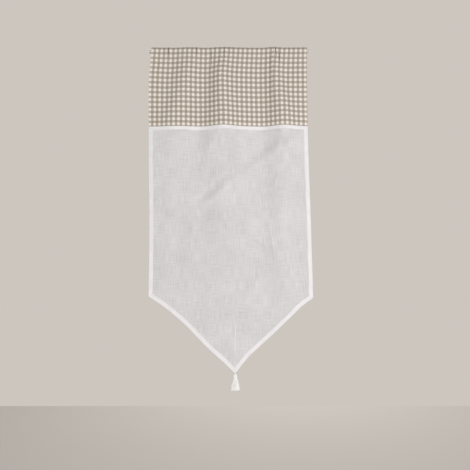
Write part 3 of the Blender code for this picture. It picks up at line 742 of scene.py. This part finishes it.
def side_tape(name, outside, inside):
    outer = line_between((outside, JOIN_TAPE_TOP + MITRE_GAP),
                         (outside, float(outline_down(outside)) - MITRE_GAP), SIDE_POINTS)
    inner = line_between((inside, JOIN_TAPE_BOTTOM + MITRE_GAP),
                         (inside, float(border_down(inside)) - MITRE_GAP), SIDE_POINTS)
    return binding(name, outer, inner)


def point_tape(name, side_edge, side):
    """Tape along one slant: side is -1 on the left and 1 on the right of the tip."""
    gap = side * MITRE_GAP / 2
    s = np.linspace(side_edge, TIP_ACROSS + gap, SLANT_POINTS)
    outer = np.stack((s, outline_down(s)), axis=-1)
    near_tip = np.clip(1 - np.abs(s - TIP_ACROSS - gap) / MITRE_REACH, 0.0, 1.0)
    inside = s + (mitre_across() - TIP_ACROSS) * near_tip
    inside = np.clip(inside, TAPE_WIDTH, FLAT_WIDTH - TAPE_WIDTH)
    inner = np.stack((inside, border_down(inside)), axis=-1)
    return binding(name, outer, inner)


# Tassel

STRANDS = 290
STRAND_POINTS = 14
STRAND_SIDES = 7
STRAND_FALL = 0.0447
HEAD_RADIUS = 0.0066
SKIRT_RADIUS = 0.0186
SKIRT_POWER = 1.35
SKIRT_LEAN = -0.0024
RING_POWER = 0.14
TASSEL_DEPTH_RATIO = 0.85
ROOTS_BELOW_TIP = 0.0150
GOLDEN_TURN = math.pi * (3 - math.sqrt(5))
HEAD_OUTLINE = (
    (-0.0160, 0.0000),
    (-0.0160, 0.0052),
    (-0.0148, 0.0068),
    (-0.0128, 0.0062),
    (-0.0110, 0.0060),
    (-0.0098, 0.0066),
    (-0.0080, 0.0068),
    (-0.0060, 0.0064),
    (-0.0040, 0.0054),
    (-0.0022, 0.0040),
    (-0.0010, 0.0026),
    (-0.0004, 0.0014),
    (-0.0002, 0.0000),
)
TURN_SPREAD = 0.06
SWAY_SPREAD = 0.0006
SWAY_POWER = 1.5
LEAN_POWER = 1.3
WOBBLE = 0.00022
WOBBLE_TURNS = 1.3
FALL_SPREAD = 0.0007
INNER_FALL = 0.0012
FALL_POWER = 0.97
STRAND_RADIUS = 0.00048
STRAND_SWELL = 0.00044
SWELL_POWER = 0.8
RADIUS_SPREAD = 0.00003
STRAND_END = 0.72
HEAD_SIDES = 96
HEAD_RIDGES = 24
RIDGE_HEIGHT = 0.035
WRAP_TURNS = 5
WRAP_POINTS = 30
WRAP_RADIUS = 0.0066
WRAP_TOP = -0.0104
WRAP_BOTTOM = -0.0142
WRAP_THREAD = 0.00046
TIE_POINTS = 15
TIE_OVERLAP = 0.35
TIE_SHIFTS = (-0.0006, 0.0006)
TIE_DEPTH = 0.0013
TIE_HEIGHT = 0.0034
TIE_DROP = 0.0012
TIE_FORWARD = 0.0006
TIE_THREAD = 0.00034


def tassel_centre():
    tip = front_points(TIP_ACROSS, outline_down(TIP_ACROSS))
    return tip + np.array((0.0, SHEER_THICKNESS, 0.0))


def tassel_strands(rng):
    centre = tassel_centre()
    number = np.arange(STRANDS)
    ring = ((number + 0.5) / STRANDS) ** RING_POWER
    turn = number * GOLDEN_TURN + rng.normal(0.0, TURN_SPREAD, STRANDS)
    t = np.linspace(0.0, 1.0, STRAND_POINTS)
    opening = HEAD_RADIUS + (SKIRT_RADIUS - HEAD_RADIUS) * (1 - (1 - t) ** SKIRT_POWER)
    reach = ring[:, None] * opening[None]
    sway = rng.normal(0.0, SWAY_SPREAD, (STRANDS, 2, 1)) * t[None, None] ** SWAY_POWER
    wave = rng.uniform(0.0, 1.0, (STRANDS, 2, 1))
    swing = np.sin(TURN * (WOBBLE_TURNS * t[None, None] + wave))
    wobble = WOBBLE * swing * np.minimum(1, 4 * t)
    lean = SKIRT_LEAN * t[None] ** LEAN_POWER
    x = reach * np.cos(turn)[:, None] + sway[:, 0] + wobble[:, 0] + lean
    y = reach * np.sin(turn)[:, None] * TASSEL_DEPTH_RATIO + sway[:, 1] + wobble[:, 1]
    fall = STRAND_FALL + rng.normal(0.0, FALL_SPREAD, STRANDS) + INNER_FALL * (1 - ring)
    z = -ROOTS_BELOW_TIP - fall[:, None] * t[None] ** FALL_POWER
    lines = np.stack((x, y, z), axis=-1) + centre
    radii = (STRAND_RADIUS + STRAND_SWELL * t[None] ** SWELL_POWER
             + rng.normal(0.0, RADIUS_SPREAD, (STRANDS, 1)))
    radii = np.broadcast_to(radii, lines.shape[:2]).copy()
    radii[:, -1] *= STRAND_END
    return tubes("tassel_strands", lines, radii, STRAND_SIDES, (0, 1, 0))


def tassel_head():
    return lathe("tassel_head", HEAD_OUTLINE, HEAD_SIDES, tassel_centre(), "Z",
                 TASSEL_DEPTH_RATIO, HEAD_RIDGES, RIDGE_HEIGHT)


def tassel_wrap():
    """Thread wound round the neck, and a short loop that ties the head to the tip."""
    centre = tassel_centre()
    count = WRAP_TURNS * WRAP_POINTS
    angle = np.linspace(0.0, TURN * WRAP_TURNS, count)
    line = np.stack((WRAP_RADIUS * np.cos(angle),
                     WRAP_RADIUS * np.sin(angle) * TASSEL_DEPTH_RATIO,
                     np.linspace(WRAP_TOP, WRAP_BOTTOM, count)), axis=-1)
    wrap = tubes("tassel_wrap", (line + centre)[None], np.full((1, count), WRAP_THREAD), 8,
                 (0, 0, 1))
    turn = np.linspace(-TIE_OVERLAP, math.pi + TIE_OVERLAP, TIE_POINTS)
    loops = []
    for shift in TIE_SHIFTS:
        loop = np.stack((np.full_like(turn, shift), -TIE_DEPTH * np.cos(turn),
                         TIE_HEIGHT * np.sin(turn) - TIE_DROP), axis=-1)
        loops.append(loop + centre + TIE_FORWARD * FORWARD)
    tie = tubes("tassel_tie", np.array(loops), np.full((2, TIE_POINTS), TIE_THREAD), 6, (1, 0, 0))
    return [wrap, tie]


# Rod and hooks

ROD_SIDES = 48
PIN_BEVEL = 0.0006
WIRE_SIDES = 16
ARC_POINTS = 14
STRAIGHT_POINTS = 8
RISE_POINTS = 5
PLATE_SIDES = 40

# Half of the rod from its middle: place beyond its end or its pin's end, and radius
ROD_END = (
    (-0.0012, ROD_RADIUS),
    (-0.0003, ROD_RADIUS - 0.0003),
    (0.0, ROD_RADIUS - 0.0009),
    (0.0, PIN_RADIUS + 0.0008),
    (0.0004, PIN_RADIUS),
)
PIN_END = (
    (-PIN_BEVEL, PIN_RADIUS),
    (-PIN_BEVEL * 0.3, PIN_RADIUS - PIN_BEVEL * 0.3),
    (0.0, PIN_RADIUS - PIN_BEVEL),
    (0.0, 0.0),
)
PLATE_OUTLINE = (
    (0.0, 0.0),
    (0.0, PLATE_RADIUS - 0.0002),
    (-0.0002, PLATE_RADIUS),
    (-0.0009, PLATE_RADIUS),
    (-0.0013, PLATE_RADIUS - 0.0005),
    (-PLATE_THICKNESS, PLATE_RADIUS - 0.0013),
    (-PLATE_THICKNESS, 0.0),
)


def rod_piece():
    half = [(ROD_HALF_LENGTH + beyond, radius) for beyond, radius in ROD_END]
    half += [(PIN_HALF_LENGTH + beyond, radius) for beyond, radius in PIN_END]
    outline = [(-place, radius) for place, radius in reversed(half)] + half
    return lathe("rod_tube", outline, ROD_SIDES, (0.0, -ROD_STANDOFF, 0.0), "X")


def hook_piece(name, x):
    """Bent wire with a rounded tip, on a round plate with a softened edge."""
    angles = np.linspace(0.0, math.pi / 2, ARC_POINTS)
    arc = np.stack((np.full_like(angles, x), -ROD_STANDOFF - HOOK_REACH * np.sin(angles),
                    -HOOK_REACH * np.cos(angles)), axis=-1)
    straight = line_between((x, -PLATE_THICKNESS / 2, -HOOK_REACH),
                            (x, -ROD_STANDOFF + 0.0005, -HOOK_REACH), STRAIGHT_POINTS)
    front_y = -ROD_STANDOFF - HOOK_REACH
    rise = line_between((x, front_y, 0.0006), (x, front_y, HOOK_RISE - 0.0008), RISE_POINTS)
    tip = np.array(((x, front_y, HOOK_RISE - 0.0003), (x, front_y, HOOK_RISE)))
    line = np.concatenate((straight, arc, rise, tip))
    radii = np.full((1, len(line)), HOOK_WIRE_RADIUS)
    radii[0, -2:] = (HOOK_WIRE_RADIUS * 0.86, HOOK_WIRE_RADIUS * 0.45)
    wire = tubes(name + "_wire", line[None], radii, WIRE_SIDES, (1, 0, 0))
    plate = lathe(name + "_base", PLATE_OUTLINE, PLATE_SIDES, (x, 0.0, -HOOK_REACH), "Y")
    return join_meshes(name, [wire, plate])


# Materials

def linear(red, green, blue):
    """Colour of a material from display values of 0 to 255."""
    values = [v / 255 for v in (red, green, blue)]
    return (*[v / 12.92 if v <= 0.04045 else ((v + 0.055) / 1.055) ** 2.4 for v in values], 1.0)


class Paint:
    """Short ways to add nodes to one material."""

    def __init__(self, name, roughness, sheen=0.0, specular=0.5):
        self.material = bpy.data.materials.new(name)
        self.material.use_nodes = True
        self.tree = self.material.node_tree
        self.shader = self.tree.nodes["Principled BSDF"]
        self.shader.inputs["Roughness"].default_value = roughness
        self.shader.inputs["Specular IOR Level"].default_value = specular
        self.shader.inputs["Sheen Weight"].default_value = sheen

    def put(self, socket, value):
        if isinstance(value, bpy.types.NodeSocket):
            self.tree.links.new(value, socket)
        else:
            socket.default_value = value

    def calc(self, operation, first, second=0.0, third=0.0):
        made = self.tree.nodes.new("ShaderNodeMath")
        made.operation = operation
        for socket, value in zip(made.inputs, (first, second, third)):
            self.put(socket, value)
        return made.outputs[0]

    def split(self, socket):
        made = self.tree.nodes.new("ShaderNodeSeparateXYZ")
        self.tree.links.new(socket, made.inputs[0])
        return made.outputs

    def flat(self):
        """Flat lengths of the cloth: across, down and the number of the strand."""
        made = self.tree.nodes.new("ShaderNodeAttribute")
        made.attribute_name = "flat"
        return self.split(made.outputs["Vector"])

    def place(self):
        """Place of the surface in the object's own frame."""
        made = self.tree.nodes.new("ShaderNodeTexCoord")
        return self.split(made.outputs["Object"])

    def noise(self, lengths, scales, start=0.0):
        """Noise over two or three lengths, each times its scale. start sets it apart."""
        joined = self.tree.nodes.new("ShaderNodeCombineXYZ")
        self.put(joined.inputs[2], start)
        for socket, length, scale in zip(joined.inputs, lengths, scales):
            self.put(socket, self.calc("MULTIPLY", length, scale))
        made = self.tree.nodes.new("ShaderNodeTexNoise")
        made.inputs["Scale"].default_value = 1.0
        made.inputs["Detail"].default_value = 2.0
        made.inputs["Roughness"].default_value = 0.5
        self.tree.links.new(joined.outputs[0], made.inputs["Vector"])
        return made.outputs[0]

    def remap(self, value, low, high, new_low, new_high):
        made = self.tree.nodes.new("ShaderNodeMapRange")
        made.clamp = True
        for socket, number in zip(made.inputs, (value, low, high, new_low, new_high)):
            self.put(socket, number)
        return made.outputs[0]

    def mix(self, share, first, second, kind="MIX"):
        made = self.tree.nodes.new("ShaderNodeMix")
        made.data_type = "RGBA"
        made.blend_type = kind
        self.put(made.inputs[0], share)
        self.put(made.inputs[6], first)
        self.put(made.inputs[7], second)
        return made.outputs[2]

    def ramp(self, value, stops):
        made = self.tree.nodes.new("ShaderNodeValToRGB")
        points = made.color_ramp.elements
        while len(points) < len(stops):
            points.new(0.5)
        for point, (place, colour) in zip(points, stops):
            point.position = place
            point.color = colour
        self.put(made.inputs[0], value)
        return made.outputs[0]

    def colour(self, value):
        self.put(self.shader.inputs["Base Color"], value)

    def bump(self, height, distance, strength=1.0):
        made = self.tree.nodes.new("ShaderNodeBump")
        made.inputs["Distance"].default_value = distance
        made.inputs["Strength"].default_value = strength
        self.put(made.inputs["Height"], height)
        self.tree.links.new(made.outputs[0], self.shader.inputs["Normal"])

    def let_light_through(self, share, colour):
        """Shows a share of the light that falls on the other side."""
        through = self.tree.nodes.new("ShaderNodeBsdfTranslucent")
        self.put(through.inputs["Color"], colour)
        blend = self.tree.nodes.new("ShaderNodeMixShader")
        blend.inputs[0].default_value = share
        self.tree.links.new(self.shader.outputs[0], blend.inputs[1])
        self.tree.links.new(through.outputs[0], blend.inputs[2])
        surface = self.tree.nodes["Material Output"].inputs["Surface"]
        self.tree.links.new(blend.outputs[0], surface)

    def wave(self, value, length, start=0.0):
        """Sine of a length, from -1 to 1."""
        turns = self.calc("MULTIPLY_ADD", value, TURN / length, start)
        return self.calc("SINE", turns)

    def weave(self, across, down, pitch):
        """Height of a plain weave: warp and weft pass over each other in turn."""
        warp = self.wave(across, pitch)
        weft = self.wave(down, pitch, TURN / 4)
        return self.calc("MULTIPLY", warp, weft)


CHECK = 0.018
CHECK_SOFTNESS = 0.16
ROW_START = 0.0005
WHITE_CHECK = linear(247, 239, 230)
MIXED_CHECK = linear(193, 183, 172)
TAUPE_CHECK = linear(164, 153, 139)
SHEER_PALE = linear(245, 244, 245)
SHEER_DEEP = linear(227, 225, 226)
SHEER_THROUGH = 0.45
# Painted highlight: the pressed line above the tip is painted lighter, for the light that its
# crease catches
PRESSED_HIGHLIGHT_COLOUR = linear(253, 252, 253)
PRESSED_HIGHLIGHT_TOP = 0.960
PRESSED_HIGHLIGHT_WIDTH = 0.0022
PRESSED_HIGHLIGHT_FADE = 0.0500
PRESSED_HIGHLIGHT_SHARE = 0.7
SHEER_ALPHA = 0.90
GINGHAM_PITCH = 0.0011
SHEER_PITCH = 0.0012
TWILL_PITCH = 0.0016
RIB_PITCH = 0.0008
PLY_PITCH = 0.0022
THREAD_PITCH = 0.0006
TAPE_WHITE = linear(247, 245, 247)
TAPE_SHADE = linear(237, 235, 237)
YARN_WHITE = linear(254, 252, 251)
YARN_SHADE = linear(249, 248, 247)
METAL_WHITE = linear(238, 236, 232)
METAL_SHADE = linear(214, 211, 205)


def gingham_material():
    paint = Paint("gingham_cotton", 0.9, sheen=0.15, specular=0.25)
    across, down = paint.flat()[:2]
    drift = paint.noise((across, down), (900, 900))
    shift = paint.calc("MULTIPLY_ADD", drift, 0.0008, -0.0004)
    taupe = []
    for length, start in ((across, 0.0), (down, ROW_START)):
        moved = paint.calc("ADD", length, shift)
        swing = paint.wave(paint.calc("ADD", moved, start), CHECK)
        taupe.append(paint.remap(swing, -CHECK_SOFTNESS, CHECK_SOFTNESS, 1.0, 0.0))
    share = paint.calc("MULTIPLY", paint.calc("ADD", *taupe), 0.5)
    checks = paint.ramp(share, ((0.0, WHITE_CHECK), (0.5, MIXED_CHECK), (1.0, TAUPE_CHECK)))
    warp = paint.noise((across, down), (1500, 70), 1.0)
    weft = paint.noise((across, down), (70, 1500), 5.0)
    yarn = paint.remap(paint.calc("ADD", warp, weft), 0.7, 1.3, 0.90, 1.06)
    grey = paint.tree.nodes.new("ShaderNodeCombineColor")
    for socket in grey.inputs:
        paint.put(socket, yarn)
    paint.colour(paint.mix(1.0, checks, grey.outputs[0], "MULTIPLY"))
    height = paint.calc("MULTIPLY_ADD", paint.weave(across, down, GINGHAM_PITCH), 0.5,
                        paint.calc("MULTIPLY", paint.calc("ADD", warp, weft), 0.8))
    paint.bump(height, 0.00012, 0.7)
    return paint.material


def sheer_material():
    """Open weave with uneven threads, a painted highlight along the pressed line above the tip,
    and light coming through.
    """
    paint = Paint("sheer_linen", 0.85, sheen=0.1, specular=0.2)
    across, down = paint.flat()[:2]
    warp = paint.noise((across, down), (470, 19), 2.0)
    weft = paint.noise((across, down), (19, 470), 8.0)
    cloud = paint.noise((across, down), (9, 7), 4.0)
    slubs = paint.calc("MULTIPLY_ADD", warp, 1.1, paint.calc("MULTIPLY", weft, 0.9))
    mixed = paint.calc("MULTIPLY_ADD", cloud, 0.35, slubs)
    threads = paint.mix(paint.remap(mixed, 0.92, 1.43, 0.0, 1.0), SHEER_DEEP, SHEER_PALE)
    # Painted highlight: a lighter stripe along the pressed crease above the tip, fading in towards
    # the tip
    beside = paint.calc("ABSOLUTE", paint.calc("SUBTRACT", across, TIP_ACROSS))
    pressed = paint.calc("MULTIPLY", paint.remap(beside, 0.0, PRESSED_HIGHLIGHT_WIDTH, 1.0, 0.0),
                         paint.remap(down, PRESSED_HIGHLIGHT_TOP, PRESSED_HIGHLIGHT_TOP + PRESSED_HIGHLIGHT_FADE, 0.0,
                                     PRESSED_HIGHLIGHT_SHARE))
    colour = paint.mix(pressed, threads, PRESSED_HIGHLIGHT_COLOUR)
    paint.colour(colour)
    fine = paint.calc("MULTIPLY", paint.weave(across, down, SHEER_PITCH), 0.5)
    paint.bump(paint.calc("ADD", fine, slubs), 0.00012, 0.6)
    paint.shader.inputs["Alpha"].default_value = SHEER_ALPHA
    paint.let_light_through(SHEER_THROUGH, colour)
    return paint.material


def tape_material():
    paint = Paint("white_tape", 0.85, sheen=0.1, specular=0.25)
    across, down = paint.flat()[:2]
    twill = paint.wave(paint.calc("ADD", across, down), TWILL_PITCH)
    rib = paint.wave(down, RIB_PITCH)
    yarn = paint.noise((across, down), (1600, 90), 3.0)
    cloud = paint.noise((across, down), (40, 30), 7.0)
    share = paint.remap(paint.calc("ADD", yarn, cloud), 0.75, 1.25, 0.0, 1.0)
    paint.colour(paint.mix(share, TAPE_SHADE, TAPE_WHITE))
    height = paint.calc("MULTIPLY_ADD", twill, 0.6, paint.calc("MULTIPLY", rib, 0.3))
    paint.bump(height, 0.00010, 0.6)
    return paint.material


def yarn_material():
    paint = Paint("tassel_yarn", 0.9, sheen=0.5, specular=0.2)
    around, along, number = paint.flat()
    ply = paint.wave(along, PLY_PITCH, paint.calc("MULTIPLY", around, 2 * TURN))
    tone = paint.noise((number, along), (3.7, 160), 2.0)
    # Tone that varies at random, plus painted shade: the ply wave darkens the colour in the
    # grooves between the plies
    share = paint.remap(paint.calc("MULTIPLY_ADD", ply, 0.12, tone), 0.3, 0.7, 0.0, 1.0)
    paint.colour(paint.mix(share, YARN_SHADE, YARN_WHITE))
    paint.bump(ply, 0.00012, 0.50)
    return paint.material


def head_material():
    paint = Paint("tassel_head_yarn", 0.9, sheen=0.2, specular=0.2)
    strands = paint.noise(paint.place(), (2600, 2600, 160))
    paint.colour(paint.mix(paint.remap(strands, 0.3, 0.7, 0.0, 1.0), YARN_SHADE, YARN_WHITE))
    paint.bump(strands, 0.00015, 0.7)
    return paint.material


def thread_material():
    paint = Paint("sewing_thread", 0.7, sheen=0.1, specular=0.3)
    around, along, number = paint.flat()
    ply = paint.wave(along, THREAD_PITCH, paint.calc("MULTIPLY", around, TURN))
    tone = paint.noise((number, along), (1.7, 300), 2.0)
    paint.colour(paint.mix(paint.remap(tone, 0.3, 0.7, 0.0, 1.0), TAPE_SHADE, TAPE_WHITE))
    paint.bump(ply, 0.00005, 0.6)
    return paint.material


def metal_material():
    """Satin white paint with faint unevenness and slightly worn patches."""
    paint = Paint("white_metal", 0.38, specular=0.5)
    place = paint.place()
    fine = paint.noise(place, (300, 900, 900))
    broad = paint.noise(place, (40, 120, 120))
    paint.colour(paint.mix(paint.remap(broad, 0.35, 0.65, 0.0, 1.0), METAL_SHADE, METAL_WHITE))
    paint.put(paint.shader.inputs["Roughness"], paint.remap(broad, 0.3, 0.7, 0.46, 0.32))
    paint.bump(fine, 0.00004, 0.5)
    return paint.material


# Assembly

def dress(piece, material, slot, *nodes):
    """Gives a piece its material and its body, and hides the model's nodes that it stands for."""
    piece.data.materials.clear()
    piece.data.materials.append(material)
    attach(piece, "root")
    if nodes:
        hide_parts(*nodes)
    return piece


SEAM_INSET = 0.0020
SEAM_POINTS = 400
POCKET_SEAM_RISE = 0.0030
HEM_SEAM_INSET = 0.0015
HEM_SEAM_ENDS = 0.0010
HEM_SEAM_POINTS = 160


def gingham_sewing():
    """Stitches of the rod pocket and of the two side hems, front and back."""
    across = np.linspace(SEAM_INSET, FLAT_WIDTH - SEAM_INSET, SEAM_POINTS)
    seam = front_points(across, np.full_like(across, POCKET_DROP - POCKET_SEAM_RISE))
    depth = pocket_depth(GINGHAM_THICKNESS + GINGHAM_HEM_EXTRA * hem_share(across))
    paths = [(seam, FORWARD), (seam + depth[:, None] * BACKWARD, BACKWARD)]
    drops = np.linspace(HEM_SEAM_ENDS, JOIN_TAPE_TOP - HEM_SEAM_ENDS, HEM_SEAM_POINTS)
    from_edge = GINGHAM_HEM_WIDTH - HEM_SEAM_INSET
    for side in (from_edge, FLAT_WIDTH - from_edge):
        line = front_points(np.full_like(drops, side), drops)
        paths.append((line, FORWARD))
        below = line[drops > POCKET_DROP + HEM_SEAM_ENDS]
        paths.append((below + (GINGHAM_THICKNESS + GINGHAM_HEM_EXTRA) * BACKWARD, BACKWARD))
    return sew("stitches_heading", paths)


def build_curtain():
    rng = np.random.default_rng(SEED)
    thread = thread_material()
    cotton = gingham_material()
    sheer = sheer_material()
    band = tape_material()
    yarn = yarn_material()
    head_yarn = head_material()
    metal = metal_material()

    outer, inner, flat = gingham_grid()
    heading = dress(shell("gingham_heading", outer, inner, flat), cotton, "gingham_cotton",
                    "gingham_panel")
    heading_stitches = dress(gingham_sewing(), thread, "white_tape")

    front, back, places = sheer_grid()
    panel = dress(shell("sheer_point_panel", front, back, places), sheer, "sheer_linen",
                  "sheer_panel")
    top = JOIN_LINE - SHEER_TURN_UP
    float(outline_down(TIP_ACROSS)) - top

    tapes = {
        "tape_join": join_tape(),
        "tape_left": side_tape("tape_left_side", 0.0, TAPE_WIDTH),
        "tape_right": side_tape("tape_right_side", FLAT_WIDTH, FLAT_WIDTH - TAPE_WIDTH),
        "tape_point_left": point_tape("tape_left_slant", 0.0, -1),
        "tape_point_right": point_tape("tape_right_slant", FLAT_WIDTH, 1),
    }
    for node, (strip, stitches, size) in tapes.items():
        dress(strip, band, "white_tape", node)
        dress(stitches, thread, "white_tape")

    dress(tassel_strands(rng), yarn, "tassel_yarn", "tassel")
    dress(tassel_head(), head_yarn, "tassel_yarn")
    for piece in tassel_wrap():
        dress(piece, yarn, "tassel_yarn")
    dress(rod_piece(), metal, "white_metal", "rod")
    dress(hook_piece("wire_hook_left", -HOOK_X), metal, "white_metal", "hook_left")
    dress(hook_piece("wire_hook_right", HOOK_X), metal, "white_metal", "hook_right")


# Stage

FLOOR_HALF_X = 2.0
FLOOR_HALF_Y = 1.6
FLOOR_Z = -1.70
FLOOR_COLOUR = linear(210, 204, 197)
AMBIENT_COLOUR = linear(250, 248, 246)
AMBIENT_STRENGTH = 0.445
BACKDROP_COLOUR = linear(204, 198, 191)


def build_floor():
    corners = [(-FLOOR_HALF_X, -FLOOR_HALF_Y, FLOOR_Z), (FLOOR_HALF_X, -FLOOR_HALF_Y, FLOOR_Z),
               (FLOOR_HALF_X, FLOOR_HALF_Y, FLOOR_Z), (-FLOOR_HALF_X, FLOOR_HALF_Y, FLOOR_Z)]
    mesh = bpy.data.meshes.new("floor")
    mesh.from_pydata(corners, [], [(0, 1, 2, 3)])
    floor = add_object("floor", mesh)
    paint = Paint("pale_floor", 0.9, specular=0.2)
    paint.colour(FLOOR_COLOUR)
    mesh.materials.append(paint.material)


def build_world():
    world = bpy.data.worlds.new("studio")
    world.use_nodes = True
    bpy.context.scene.world = world
    background = world.node_tree.nodes["Background"]
    background.inputs["Color"].default_value = AMBIENT_COLOUR
    background.inputs["Strength"].default_value = AMBIENT_STRENGTH
    shown = world.node_tree.nodes.new("ShaderNodeBackground")
    shown.inputs["Color"].default_value = BACKDROP_COLOUR
    shown.inputs["Strength"].default_value = 1.0
    paths = world.node_tree.nodes.new("ShaderNodeLightPath")
    blend = world.node_tree.nodes.new("ShaderNodeMixShader")
    links = world.node_tree.links
    links.new(paths.outputs["Is Camera Ray"], blend.inputs[0])
    links.new(background.outputs[0], blend.inputs[1])
    links.new(shown.outputs[0], blend.inputs[2])
    links.new(blend.outputs[0], world.node_tree.nodes["World Output"].inputs["Surface"])


# Name, place, place aimed at, size, watts and colour of each light
LIGHTS = (
    ("key", (1.3, -3.0, -0.80), (0.0, 0.0, -0.68), 1.8, 54.0, (1.0, 0.99, 0.98)),
    ("fill", (-1.9, -2.8, -1.1), (0.0, 0.0, -0.8), 2.2, 13.0, (0.98, 0.99, 1.0)),
    ("back", (0.5, 2.6, 0.5), (0.0, 0.0, -0.6), 2.0, 46.0, (1.0, 0.99, 0.98)),
)


def build_lights():
    for name, place, target, size, watts, colour in LIGHTS:
        data = bpy.data.lights.new(name, "AREA")
        data.shape = "SQUARE"
        data.size = size
        data.energy = watts
        data.color = colour
        light = add_object(name, data)
        light.location = place
        aim = Vector(target) - Vector(place)
        light.rotation_euler = aim.to_track_quat("-Z", "Y").to_euler()


CAMERA_PLACE = (0.0210, -2.635, -0.6797)
CAMERA_LENS = 54.4
SENSOR_WIDTH = 36.0


def build_camera():
    data = bpy.data.cameras.new("camera")
    data.lens = CAMERA_LENS
    data.sensor_width = SENSOR_WIDTH
    camera = add_object("camera", data)
    camera.location = CAMERA_PLACE
    camera.rotation_euler = (math.radians(90), 0.0, 0.0)
    bpy.context.scene.camera = camera


bpy.context.scene.view_settings.view_transform = "Standard"
build_camera()
build_lights()
build_world()
build_floor()
build_curtain()
